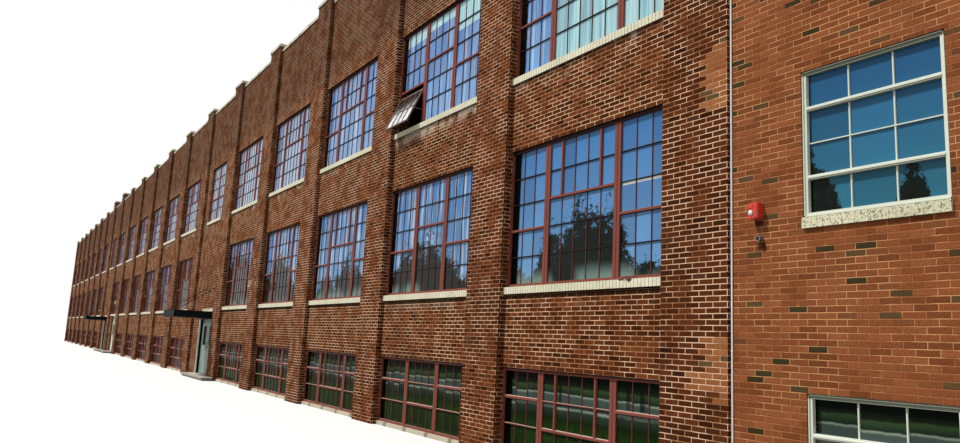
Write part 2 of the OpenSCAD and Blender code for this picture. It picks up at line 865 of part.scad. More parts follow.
module right_pane(i) {
    color("#1d2b28") set() pane(right_leaf_x(i), door_back, leaf_w, leaf_h);
}

module door_1_left_leaf() { left_leaf(door_bay); }
module door_1_left_pane() { left_pane(door_bay); }
module door_1_right_leaf() { right_leaf(door_bay); }
module door_1_right_pane() { right_pane(door_bay); }
module door_2_left_leaf() { left_leaf(stair_bay); }
module door_2_left_pane() { left_pane(stair_bay); }
module door_2_right_leaf() { right_leaf(stair_bay); }
module door_2_right_pane() { right_pane(stair_bay); }

module white_door_leaf() {
    color("#dcdcd4") set() {
        leaf(white_leaf_x, white_back, white_clear_w, white_leaf_h, white_leaf_x + white_clear_w - pull_inset);
        leaf_knuckles(white_leaf_x - leaf_gap / 2, white_back, 1);
    }
}

module white_door_pane() {
    color("#1d2b28") set() pane(white_leaf_x, white_back, white_clear_w, white_leaf_h);
}

// The conduit stands in the corner between the last pilaster and the new wall
module joint_conduit() {
    color("#e9e9e6") set()
        translate([old_l + conduit_gap + conduit_r, -new_proud - conduit_r, 0])
            cylinder(r = conduit_r, h = parapet_z - 2, $fn = 24);
}

module alarm_box() {
    x = old_l + alarm_in;
    alarm_d = 10;
    color("#c0392f") set()
        block([x, -new_proud - alarm_d, alarm_z], [x + alarm_w, -new_proud, alarm_z + alarm_h]);
}

// A flared lamp head, turned sideways by pan and tipped down by dip
module lamp_head(pan, dip) {
    rotate([0, 0, pan]) rotate([90 + dip, 0, 0])
        cylinder(r1 = lamp_r * 0.6, r2 = lamp_r, h = lamp_r * 1.4, $fn = 48);
}

// Lamp heads one above the other on a short arm, by the right edge of a pilaster
module wall_lamp(pier, z, heads) {
    x = pier * bay_pitch + pilaster_w - 20;
    y = -pilaster_d;
    block([x - 4, y - 3, z - 6], [x + 4, y, z + 6]);
    translate([x, y - 2, z]) rotate([90, 0, 0]) cylinder(r = 1.8, h = lamp_arm, $fn = 24);
    translate([x, y - lamp_arm, z + lamp_r * 0.6]) lamp_head(35, 10);
    if (heads == 2) translate([x, y - lamp_arm, z - lamp_r * 0.6]) lamp_head(-20, 45);
}

module wall_lamps() {
    color("#b9a789") set() {
        wall_lamp(bay_count - 4, 336, 2);
        wall_lamp(white_bay + 1, 348, 2);
        wall_lamp(stair_bay, 302, 1);
    }
}

module pipe_stub() {
    color("#7d7f80") set()
        translate([old_l + stub_in, -new_proud, stub_z]) rotate([90, 0, 0])
            difference() {
                cylinder(r = 3, h = 7, $fn = 32);
                translate([0, 0, 2]) cylinder(r = 2.3, h = 6, $fn = 32);
            }
}

front_piers();
rear_piers();
curb_stones();
lower_panels();
upper_panels();
parapet_panels();
doorway_side_walls();
stair_bay_walls();
narrow_window_sides();
west_end_wall();
joint_wall();
new_front_wall();
new_rear_wall();
new_end_wall();
stone_sills();
new_wing_sills();
parapet_copings();
end_copings();
pier_caps();
ground_floor();
first_floor();
first_floor_front();
second_floor();
roof_deck();
low_window_frames();
first_window_frames();
second_window_frames();
new_window_frames();
low_window_glass();
first_window_glass();
second_window_glass();
new_window_glass();
open_vent_sash();
open_vent_pane();
entrance_canopies();
canopy_ties();
entrance_bands();
entrance_steps();
door_frames();
white_frame();
white_panels();
white_sidelight();
door_1_left_leaf();
door_1_left_pane();
door_1_right_leaf();
door_1_right_pane();
door_2_left_leaf();
door_2_left_pane();
door_2_right_leaf();
door_2_right_pane();
white_door_leaf();
white_door_pane();
joint_conduit();
alarm_box();
wall_lamps();
pipe_stub();
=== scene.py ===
"""Dresses the brick factory building: materials, window bars, panes, door fittings, camera and studio."""

import logging
import math
import random
from dataclasses import dataclass, field
from enum import Enum
from functools import cached_property, reduce

import bmesh
import bpy
from mathutils import Matrix, Vector


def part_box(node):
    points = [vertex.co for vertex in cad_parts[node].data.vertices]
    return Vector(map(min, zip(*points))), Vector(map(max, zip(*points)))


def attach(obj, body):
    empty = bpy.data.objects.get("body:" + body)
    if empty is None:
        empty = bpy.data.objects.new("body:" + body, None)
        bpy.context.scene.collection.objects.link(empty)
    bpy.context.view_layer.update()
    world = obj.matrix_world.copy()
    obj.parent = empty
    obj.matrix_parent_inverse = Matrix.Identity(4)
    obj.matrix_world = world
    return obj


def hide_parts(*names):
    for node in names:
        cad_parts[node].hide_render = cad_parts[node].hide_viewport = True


LOG = logging.getLogger("factory")
MM = 0.001
Socket = bpy.types.NodeSocket
Point = tuple[float, float, float]
Pair = tuple[float, float]

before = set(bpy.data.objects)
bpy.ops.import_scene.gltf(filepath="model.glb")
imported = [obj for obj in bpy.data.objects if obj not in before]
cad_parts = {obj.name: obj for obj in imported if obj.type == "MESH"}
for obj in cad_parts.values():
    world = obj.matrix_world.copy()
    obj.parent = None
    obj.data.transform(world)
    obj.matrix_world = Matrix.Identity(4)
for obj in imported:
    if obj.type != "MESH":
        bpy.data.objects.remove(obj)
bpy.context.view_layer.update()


def linear(colour: str) -> tuple[float, ...]:
    """Turns an sRGB hex colour into Blender's linear red, green, blue and alpha."""
    parts = [int(colour[n:n + 2], 16) / 255 for n in (1, 3, 5)]
    return (*[c / 12.92 if c <= 0.04045 else ((c + 0.055) / 1.055) ** 2.4 for c in parts], 1.0)


@dataclass(frozen=True)
class Net:
    """The nodes of a material or a world, with the places and sums that the finishes share."""
    owner: bpy.types.ID

    @classmethod
    def material(cls, name: str) -> "Net":
        """Starts a material with one Principled shader.

        Args:
            name: Name of the material.

        Returns:
            The nodes of the material.
        """
        made = bpy.data.materials.new(name)
        made.use_nodes = True
        return cls(made)

    def add(self, kind: str, inputs: dict | None = None, **settings: object) -> bpy.types.Node:
        """Adds one shader node.

        Args:
            kind: Node type without its ShaderNode prefix.
            inputs: Input name or index to a constant or to the socket that feeds it.
            settings: Properties of the node itself.

        Returns:
            The new node.
        """
        node = self.owner.node_tree.nodes.new("ShaderNode" + kind)
        for name, value in settings.items():
            setattr(node, name, value)
        self.feed(node, inputs or {})
        return node

    def feed(self, node: bpy.types.Node, inputs: dict) -> None:
        """Sets or links the inputs of a node.

        Args:
            node: Node of this tree.
            inputs: Input name or index to a constant or to the socket that feeds it.
        """
        for key, value in inputs.items():
            if isinstance(value, Socket):
                self.owner.node_tree.links.new(value, node.inputs[key])
            else:
                node.inputs[key].default_value = value

    @property
    def shader(self) -> bpy.types.Node:
        """The material's Principled shader."""
        return self.owner.node_tree.nodes["Principled BSDF"]

    @cached_property
    def place(self) -> Socket:
        """Place on the model in metres."""
        return self.add("TexCoord").outputs["Object"]

    @cached_property
    def axis(self) -> tuple[Socket, ...]:
        """Place along the building, across it and up, in metres."""
        return tuple(self.add("SeparateXYZ", {0: self.place}).outputs)

    @cached_property
    def normal(self) -> tuple[Socket, ...]:
        """Shares of the face's normal along the building, across it and up."""
        return tuple(self.add("SeparateXYZ", {0: self.add("NewGeometry").outputs["True Normal"]}).outputs)

    @cached_property
    def side(self) -> Socket:
        """1 on faces that look along the building."""
        return self.over(self.maths("ABSOLUTE", self.normal[0]), 0.5)

    def maths(self, operation: str, *values: object, clamp: bool = False) -> Socket:
        """Value of a Math node that reads constants or sockets."""
        return self.add("Math", dict(enumerate(values)), operation=operation, use_clamp=clamp).outputs[0]

    def times(self, *values: object) -> Socket:
        """Product of the values."""
        return reduce(lambda first, second: self.maths("MULTIPLY", first, second), values)

    def scaled(self, value: object, share: object, shift: object) -> Socket:
        """A value times a share, plus a shift."""
        return self.maths("MULTIPLY_ADD", value, share, shift)

    def minus(self, first: object, second: object) -> Socket:
        """Difference of two values."""
        return self.maths("SUBTRACT", first, second)

    def over(self, value: object, limit: object) -> Socket:
        """1 where a value is over a limit."""
        return self.maths("GREATER_THAN", value, limit)

    def below(self, value: object, limit: object) -> Socket:
        """1 where a value is below a limit."""
        return self.maths("LESS_THAN", value, limit)

    def near(self, value: object, middle: float, reach: float) -> Socket:
        """1 where a value is within reach of a middle."""
        return self.maths("COMPARE", value, middle, reach)

    def apart(self, value: object, middle: object) -> Socket:
        """Distance of a value from a middle."""
        return self.maths("ABSOLUTE", self.minus(value, middle))

    def spread(self, value: object, low: float, high: float, first: float = 0.0, last: float = 1.0,
               kind: str = "LINEAR") -> Socket:
        """Draws a value from the range of low to high over to the range of first to last."""
        inputs = {0: value, 1: low, 2: high, 3: first, 4: last}
        return self.add("MapRange", inputs, interpolation_type=kind).outputs[0]

    def mask(self, value: object, low: float, high: float) -> Socket:
        """Rises smoothly from 0 at low to 1 at high."""
        return self.spread(value, low, high, kind="SMOOTHSTEP")

    def pick(self, share: Socket, first: object, second: object) -> Socket:
        """Mixes two values by the share of the second."""
        return self.add("Mix", {0: share, 2: first, 3: second}).outputs[0]

    def blend(self, share: object, under: object, over: object, mode: str = "MIX") -> Socket:
        """Mixes two colours.

        Args:
            share: Share of the colour that lies over the other.
            under: Colour below, as a socket or a hex value.
            over: Colour over it, as a socket or a hex value.
            mode: How Blender mixes them.

        Returns:
            The mixed colour.
        """
        pair = [linear(colour) if isinstance(colour, str) else colour for colour in (under, over)]
        inputs = {0: share, 6: pair[0], 7: pair[1]}
        return self.add("Mix", inputs, data_type="RGBA", blend_type=mode).outputs[2]

    def ramp(self, value: Socket, *stops: tuple[float, str], hard: bool = False) -> Socket:
        """Turns a value into a colour along given stops.

        Args:
            value: Value from 0 to 1.
            stops: Position and hex colour of each stop.
            hard: Whether each stop's colour holds up to the next one.

        Returns:
            The colour.
        """
        node = self.add("ValToRGB", {0: value})
        band = node.color_ramp
        band.interpolation = "CONSTANT" if hard else "LINEAR"
        while len(band.elements) < len(stops):
            band.elements.new(0.5)
        for element, (position, colour) in zip(band.elements, stops):
            element.position = position
            element.color = linear(colour)
        return node.outputs[0]

    def noise(self, size_mm: float, detail: float = 3.0, rough: float = 0.5,
              place: Socket | None = None) -> Socket:
        """Adds noise.

        Args:
            size_mm: Size of its blotches on the model.
            detail: Number of finer octaves in it.
            rough: Strength of each octave beside the one before.
            place: Place that it follows, or None for the place on the model.

        Returns:
            Value from 0 to 1.
        """
        inputs = {"Vector": place or self.place, "Scale": 1000 / size_mm, "Detail": detail,
                  "Roughness": rough}
        return self.add("TexNoise", inputs).outputs[0]

    def mottled(self, share: float, colour: object, grain: Socket, dark: str, low: float = 0.3) -> Socket:
        """Darkens a colour in the low parts of a noise."""
        return self.blend(share, colour, self.ramp(grain, (low, dark), (0.7, "#ffffff")), "MULTIPLY")

    def shaded_and_sooted_under(self, colour: Socket, soot: str) -> Socket:
        """Darkens the faces that look down with painted shade, and with soot where rain never washes it off.
        """
        return self.blend(self.times(self.mask(self.normal[2], -0.3, -0.8), 0.9), colour, soot)

    def mirrored(self) -> Socket:
        """Finds the rays that show the studio itself, in place of its light.

        Returns:
            1 on rays from the camera, from a gloss or through a glass.
        """
        rays = self.add("LightPath").outputs
        glass = self.maths("MAXIMUM", rays["Is Glossy Ray"], rays["Is Transmission Ray"])
        return self.maths("MAXIMUM", rays["Is Camera Ray"], glass)

    def finish(self, colour: Socket, rough: object, gloss: float, bump: tuple[float, float, Socket]
               ) -> bpy.types.Material:
        """Feeds the Principled shader.

        Args:
            colour: Base colour.
            rough: Roughness, as a number or a socket.
            gloss: Specular level.
            bump: Strength, depth in metres and height of the relief.

        Returns:
            The finished material.
        """
        relief = self.add("Bump", dict(zip(("Strength", "Distance", "Height"), bump)))
        self.feed(self.shader, {"Base Color": colour, "Roughness": rough, "Specular IOR Level": gloss,
                                "Normal": relief.outputs[0]})
        return self.owner


@dataclass(frozen=True)
class Plan:
    """Sizes of the building in model millimetres, the same as in its source."""
    bays: int = 20
    pitch: float = 468
    pier_w: float = 104
    pier_d: float = 10.5
    depth: float = 1830
    curb: float = 8
    low_head: float = 142
    first_sill: float = 271
    storey: float = 361
    window_h: float = 230
    sill_t: float = 11.5
    frame_back: float = 5
    new_frame_back: float = 2
    vent_angle: float = 24
    vent_drop: float = 12
    vent_gap: float = 1
    frame_t: float = 3
    new_frame_t: float = 5
    edge: float = 5
    mullion: float = 12.5
    narrow_w: float = 230
    door_w: float = 214
    door_head: float = 226
    door_back: float = 12
    door_side: float = 24
    canopy_w: float = 205
    canopy_z: float = 228
    canopy_t: float = 25
    canopy_reach: float = 150
    ground: float = 12
    new_margin: float = 94
    new_window_w: float = 149
    new_pitch: float = 290
    new_window_h: float = 160
    new_sill: float = 322
    new_low: float = 23
    new_proud: float = 5
    new_count: int = 4
    conduit_gap: float = 1.2
    conduit_r: float = 1.1
    alarm_in: float = 32
    alarm_d: float = 10
    alarm_z: float = 327
    stub_in: float = 42
    stub_z: float = 304.5

    @property
    def opening(self) -> float:
        """Width of a window bay."""
        return self.pitch - self.pier_w

    @property
    def old_l(self) -> float:
        """Length of the old wing."""
        return self.bays * self.pitch + self.pier_w

    @property
    def second_sill(self) -> float:
        """Top of the second-storey sills."""
        return self.first_sill + self.storey

    @property
    def doors(self) -> tuple[int, int]:
        """Bays with a canopied door, counted from the left."""
        return self.bays - 13, self.bays - 6

    @property
    def white_bay(self) -> int:
        """Bay of the white entrance."""
        return self.bays - 12

    @property
    def vent_bay(self) -> int:
        """Bay with the open vent."""
        return self.bays - 2

    def bay_x(self, bay: int) -> float:
        """Left edge of a bay's panel."""
        return bay * self.pitch + self.pier_w

    def doorway_x(self, bay: int) -> float:
        """Left edge of a canopied doorway."""
        return self.bay_x(bay) + self.opening - self.door_side - self.door_w

    def shaded_heads(self) -> tuple[float, ...]:
        """Heights down from which painted shadow and soot darken the old windows, less of it on the low ones.
        """
        return self.low_head + 2.5, self.first_sill + self.window_h, self.second_sill + self.window_h

    def new_shaded_heads(self) -> tuple[float, ...]:
        """Heights of the newer windows' heads, down from which painted shadow darkens them."""
        first = self.new_sill + self.new_window_h
        return self.low_head, first, first + self.storey

    def origin(self) -> Vector:
        """Source origin in the row frame, in metres, read off the front pilasters."""
        low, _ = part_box("front_piers")
        return Vector((low.x, low.y + self.pier_d * MM, 0))

    def along(self, x: float) -> float:
        """Place along the building in metres, from source millimetres."""
        return self.origin().x + x * MM

    def on_front(self, net: Net) -> Socket:
        """1 on what lies at the front wall, up to 20 mm behind its face."""
        return net.below(net.axis[1], self.origin().y + 20 * MM)

    def place(self, x: float = 0, y: float = 0, z: float = 0) -> Matrix:
        """Matrix from millimetres at a source point to metres in the row frame."""
        return Matrix.Translation(self.origin() + Vector((x, y, z)) * MM) @ Matrix.Scale(MM, 4)

    def turned(self, x: float, y: float, z: float, degrees: float) -> Matrix:
        """Matrix as place gives it, for something turned about the upright."""
        return self.place(x, y, z) @ Matrix.Rotation(math.radians(degrees), 4, "Z")

    def rear(self, bay: int, z: float) -> Matrix:
        """Matrix for a bay's window on the rear wall."""
        return self.turned(self.bay_x(bay) + self.opening, self.depth, z, 180)

    def west(self, number: int, z: float) -> Matrix:
        """Matrix for a window of the far end wall."""
        return self.turned(0, self.depth / 2 + self.opening / 2 + (number - 1) * self.pitch, z, -90)


PLAN = Plan()


@dataclass(frozen=True)
class BrickFinish:
    """Fired clay brick in running bond: matt, each brick its own shade, with a pale lime joint around it."""
    name: str
    shades: tuple[tuple[float, str], ...]
    mortar: tuple[str, str]
    length_mm: float
    soot: float = 0.35
    stained_and_shadowed: bool = False
    toothed: bool = False
    course_mm: float = 6.77
    joint_mm: float = 1.0
    seed: float = 0.0
    drips: tuple[Point, ...] = ()
    sooty_top: float = 0.0

    # First and last course of each run of newer bricks in the corner pilaster, and how many bricks deep it is
    TEETH = ((69, 79, 2), (80, 81, 1), (18, 19, 1), (20, 22, 3), (23, 28, 2))
    NEWER = ((0.0, "#6a5638"), (0.13, "#a4663c"), (0.6, "#b0724a"), (0.9, "#9a5a34"))

    def build(self) -> bpy.types.Material:
        """Makes the material.

        Returns:
            The brick material.
        """
        net = Net.material(self.name)
        grid, face = self.bond(net)
        spot = net.add("CombineXYZ", {0: grid[0], 1: grid[1], 2: self.seed})
        chance = net.add("TexWhiteNoise", {"Vector": spot.outputs[0]}, noise_dimensions="3D").outputs["Value"]
        brick = net.ramp(chance, *self.shades)
        if self.toothed:
            brick = self.toothed_in(net, brick, chance, grid)
        grain = net.noise(2.4, 4.0, 0.7)
        brick = net.mottled(0.6, brick, grain, "#808080", 0.25)
        mortar = net.blend(net.mask(net.noise(31.0, 4.0), 0.38, 0.62), *self.mortar)
        colour = net.blend(face, mortar, brick)
        cloud = net.mask(net.noise(190.0, 6.0, 0.62), 0.5, 0.7)
        colour = net.blend(net.times(cloud, self.soot), colour, "#2b1d14")
        if self.stained_and_shadowed:
            colour = self.stain_and_shadow(net, colour)
        if self.sooty_top:
            high = net.times(net.mask(net.axis[2], 0.84, 0.93), self.sooty_top)
            colour = net.blend(high, colour, "#33241f")
        for patch in self.drips:
            colour = self.drip(net, colour, patch)
        # Painted shade, with soot, nearly black on faces that look down, such as the soffits of the openings
        colour = net.shaded_and_sooted_under(colour, "#0e0906")
        return net.finish(colour, 0.95, 0.03, (0.8, 0.001, net.scaled(grain, 0.25, face)))

    def bond(self, net: Net) -> tuple[tuple[Socket, Socket, Socket], Socket]:
        """Running bond that follows the wall round its corners, with slightly uneven joints.

        Args:
            net: Nodes of the material.

        Returns:
            Number of the brick in its course, of the course, and 1 on odd courses; and 1 on a brick's face.
        """
        level = net.over(net.maths("ABSOLUTE", net.normal[2]), 0.5)
        sway = net.noise(9.0, 2.0)
        along = net.pick(net.side, net.minus(net.axis[0], PLAN.along(PLAN.old_l)), net.axis[1])
        up = net.pick(level, net.axis[2], net.axis[1])
        course = net.maths("DIVIDE", net.scaled(sway, 0.0006, up), self.course_mm * MM)
        row = net.maths("FLOOR", course)
        odd = net.maths("FLOORED_MODULO", row, 2.0)
        run = net.scaled(odd, 0.5, net.maths("DIVIDE", net.scaled(sway, 0.001, along), self.length_mm * MM))
        cell = net.maths("FLOOR", run)
        across = net.times(net.maths("PINGPONG", net.minus(run, cell), 0.5), self.length_mm)
        rise = net.times(net.maths("PINGPONG", net.minus(course, row), 0.5), self.course_mm)
        face = net.mask(net.maths("MINIMUM", across, rise), self.joint_mm * 0.3, self.joint_mm * 0.72)
        return (cell, row, odd), face

    def drip(self, net: Net, colour: Socket, patch: Point) -> Socket:
        """Dark patch that water leaves below a fitting.

        Args:
            net: Nodes of the material.
            colour: Colour of the brickwork.
            patch: Place along the building, top and length of the patch, in source millimetres.

        Returns:
            The colour with the patch.
        """
        x, z, length = patch
        wide = net.spread(net.apart(net.axis[0], PLAN.along(x)), 0.007, 0.004, 0.0, 0.85)
        drop = net.minus(z * MM, net.axis[2])
        long = net.times(net.mask(drop, 0.0, 0.001), net.mask(drop, length * MM, 0.004))
        return net.blend(net.times(wide, long), colour, "#2a170d")

    def toothed_in(self, net: Net, brick: Socket, chance: Socket, grid: tuple[Socket, ...]) -> Socket:
        """Newer orange bricks toothed into the corner pilaster beside the joint.

        Args:
            net: Nodes of the material.
            brick: Colour of the old bricks.
            chance: Random value of each brick.
            grid: Number of the brick in its course, of the course, and 1 on odd courses.

        Returns:
            The colour with the newer bricks.
        """
        cell, row, odd = grid
        parts = []
        for first, last, bricks in self.TEETH:
            rows = net.near(row, (first + last) / 2, (last - first) / 2 + 0.2)
            parts.append(net.times(rows, net.over(net.minus(cell, odd), -bricks - 0.5)))
        band = reduce(lambda one, other: net.maths("ADD", one, other, clamp=True), parts)
        corner = net.over(net.axis[0], PLAN.along(PLAN.old_l - PLAN.pier_w))
        front = net.below(net.maths("ABSOLUTE", net.normal[0]), 0.5)
        brick = net.blend(net.times(corner, 0.3), brick, "#33190c")
        newer = net.times(band, net.times(corner, front))
        return net.blend(newer, brick, net.ramp(chance, *self.NEWER, hard=True))

    def stain_and_shadow(self, net: Net, colour: Socket) -> Socket:
        """Painted shadow with black wash right under the sills, with pale salt bloom in the courses below the
        upper ones.

        Args:
            net: Nodes of the material.
            colour: Colour of the brickwork.

        Returns:
            The stained colour.
        """
        ragged = net.noise(24.0, 5.0, 0.75)
        broad = net.minus(1.0, net.side)
        middle = PLAN.along(PLAN.bay_x(PLAN.vent_bay) + PLAN.opening / 2)
        leaky = net.near(net.axis[0], middle, PLAN.opening / 2 * MM)
        washed = net.mask(net.scaled(leaky, 0.11, ragged), 0.52, 0.66)
        for sill, bloom, black in ((PLAN.first_sill, 0.12, 0.8), (PLAN.second_sill, 0.62, 0.3)):
            drop = net.minus((sill - PLAN.sill_t) * MM, net.axis[2])
            band = net.times(net.mask(drop, 0.0, 0.0004), net.mask(drop, 0.03, 0.006), broad)
            colour = net.blend(net.times(band, washed, bloom), colour, "#d6c6b4")
            # Painted shadow of each sill, with black wash, in a ragged band right under it
            reach = net.scaled(ragged, 0.006, 0.0055)
            shadow_and_wash = net.times(net.over(drop, 0.0), net.below(drop, reach), broad)
            colour = net.blend(net.times(shadow_and_wash, black), colour, "#1c120b")
        return colour


@dataclass(frozen=True)
class StoneFinish:
    """Painted sill brick or cast stone: cream and matt, ribbed by its joints, with dirt where water runs."""
    name: str
    colour: str
    dirt: str = "#5d5140"
    rib_mm: float = 6.8
    wear: float = 0.5
    fleck: float = 0.57
    grit_mm: float = 4.0
    plain: float = 0.3
    chipped: Point | None = None

    def build(self) -> bpy.types.Material:
        """Makes the material.

        Returns:
            The stone material.
        """
        net = Net.material(self.name)
        along = net.pick(net.side, net.axis[0], net.axis[1])
        edge = net.maths("PINGPONG", net.maths("DIVIDE", along, self.rib_mm * MM), 0.5)
        rib = net.mask(edge, 0.03, 0.12)
        colour = net.blend(self.plain, net.blend(rib, self.dirt, self.colour), self.colour)
        fine = net.noise(self.grit_mm, 6.0, 0.8)
        chips = net.times(net.mask(fine, self.fleck, self.fleck + 0.07), self.wear)
        colour = net.blend(chips, colour, self.dirt)
        colour = net.mottled(0.35, colour, net.noise(60.0, 4.0), "#b0a890")
        if self.chipped:
            colour = self.bitten(net, colour)
        # Painted shade, with soot, on the undersides of the sills
        colour = net.shaded_and_sooted_under(colour, "#2a2319")
        return net.finish(colour, 0.8, 0.5, (0.5, 0.0006, net.minus(rib, chips)))

    def bitten(self, net: Net, colour: Socket) -> Socket:
        """Dark ragged chip near the top of one sill.

        Args:
            net: Nodes of the material.
            colour: Colour of the sound stone.

        Returns:
            The colour with the chip.
        """
        middle, half, low = self.chipped
        ragged = net.scaled(net.noise(6.0, 3.0), 0.014, net.axis[2])
        zone = net.near(net.axis[0], PLAN.along(middle), half * MM)
        bite = net.times(zone, net.over(ragged, (low + 7.0) * MM), net.near(net.axis[2], low * MM, 5.0 * MM))
        return net.blend(bite, colour, "#2b2018")


@dataclass(frozen=True)
class PaintFinish:
    """Oil paint on steel or timber: satin, a little chalky, with rust or dirt that shows through in spots."""
    name: str
    colour: str
    under: str = "#5a3a2c"
    rough: float = 0.5
    gloss: float = 0.3
    spots: float = 0.4
    spot_mm: float = 5.0
    mottle: float = 0.3
    # Colour of soot with painted shade under the bars and painted shadow at the heads; None leaves the paint
    # clean
    soot: str | None = None
    # Colour of dust with painted highlight on the faces of the bars that look up
    dust_and_highlight: str = "#c9ab9b"
    # Heights of the window heads, down from which painted shadow falls, and how dark it gets
    shaded_heads: tuple[float, ...] = ()
    head_shade: float = 0.92

    def build(self) -> bpy.types.Material:
        """Makes the material.

        Returns:
            The paint material.
        """
        net = Net.material(self.name)
        colour = net.mottled(self.mottle, self.colour, net.noise(70.0, 4.0), "#a8a8a8")
        fine = net.noise(self.spot_mm, 5.0, 0.7)
        worn = net.times(net.mask(fine, 0.6, 0.7), self.spots)
        colour = net.blend(worn, colour, self.under)
        if self.soot:
            colour = self.shaded_and_weathered(net, colour)
        return net.finish(colour, net.scaled(worn, 0.35, self.rough), self.gloss, (0.25, 0.0003, fine))

    def shaded_and_weathered(self, net: Net, colour: Socket) -> Socket:
        """Painted shade with soot under the bars, painted shadow with soot along the window heads, and pale
        dust with painted highlight on top of the bars.

        Args:
            net: Nodes of the material.
            colour: Colour of the clean paint.

        Returns:
            The weathered colour.
        """
        # Pale dust with painted highlight on faces that look up
        colour = net.blend(net.times(net.mask(net.normal[2], 0.4, 0.8), 0.75), colour, self.dust_and_highlight)
        # Painted shadow of the lintel, with soot, a few millimetres down from each head
        for head in self.shaded_heads:
            shaded = net.mask(net.minus(head * MM, net.axis[2]), 0.0064, 0.0042)
            under = net.below(net.axis[2], (head + 2) * MM)
            colour = net.blend(net.times(shaded, under, self.head_shade), colour, self.soot)
        return net.shaded_and_sooted_under(colour, self.soot)


@dataclass(frozen=True)
class SteelFinish:
    """Galvanised steel: grey metal with a soft spangle and dull highlights."""
    name: str
    colour: str = "#8a8c8d"
    rough: float = 0.42

    def build(self) -> bpy.types.Material:
        """Makes the material.

        Returns:
            The steel material.
        """
        net = Net.material(self.name)
        spangle = net.add("TexVoronoi", {"Vector": net.place, "Scale": 900.0}).outputs["Color"]
        colour = net.blend(0.35, self.colour, spangle, "SOFT_LIGHT")
        net.feed(net.shader, {"Base Color": colour, "Metallic": 0.9, "Roughness": self.rough})
        return net.owner


class Outlook(Enum):
    """Painted reflection of what a pane looks out on, or what hangs behind it: each value names the method
    that draws it.
    """
    SKY = "sky"
    TREES = "trees"
    LAWN = "lawn"
    DARK = "dark"
    CLOUD = "cloud"
    BLIND = "blind"


@dataclass(frozen=True)
class PaneView:
    """What a pattern on the glass reads: its nodes, the place in the window, and a slow ripple."""
    net: Net
    across: Socket
    up: Socket
    ripple: Socket

    def streaks(self, wide_mm: float, high_mm: float) -> Socket:
        """Noise drawn out up the wall, in streaks of a given width and height."""
        drawn = self.net.add("Mapping", {"Vector": self.net.place, "Scale": (1.0, 1.0, wide_mm / high_mm)})
        return self.net.noise(wide_mm, 3.0, 0.6, drawn.outputs[0])

    def level(self, sway: float) -> Socket:
        """Height in the window, swayed by a share of the ripple."""
        return self.net.scaled(self.ripple, sway, self.up)


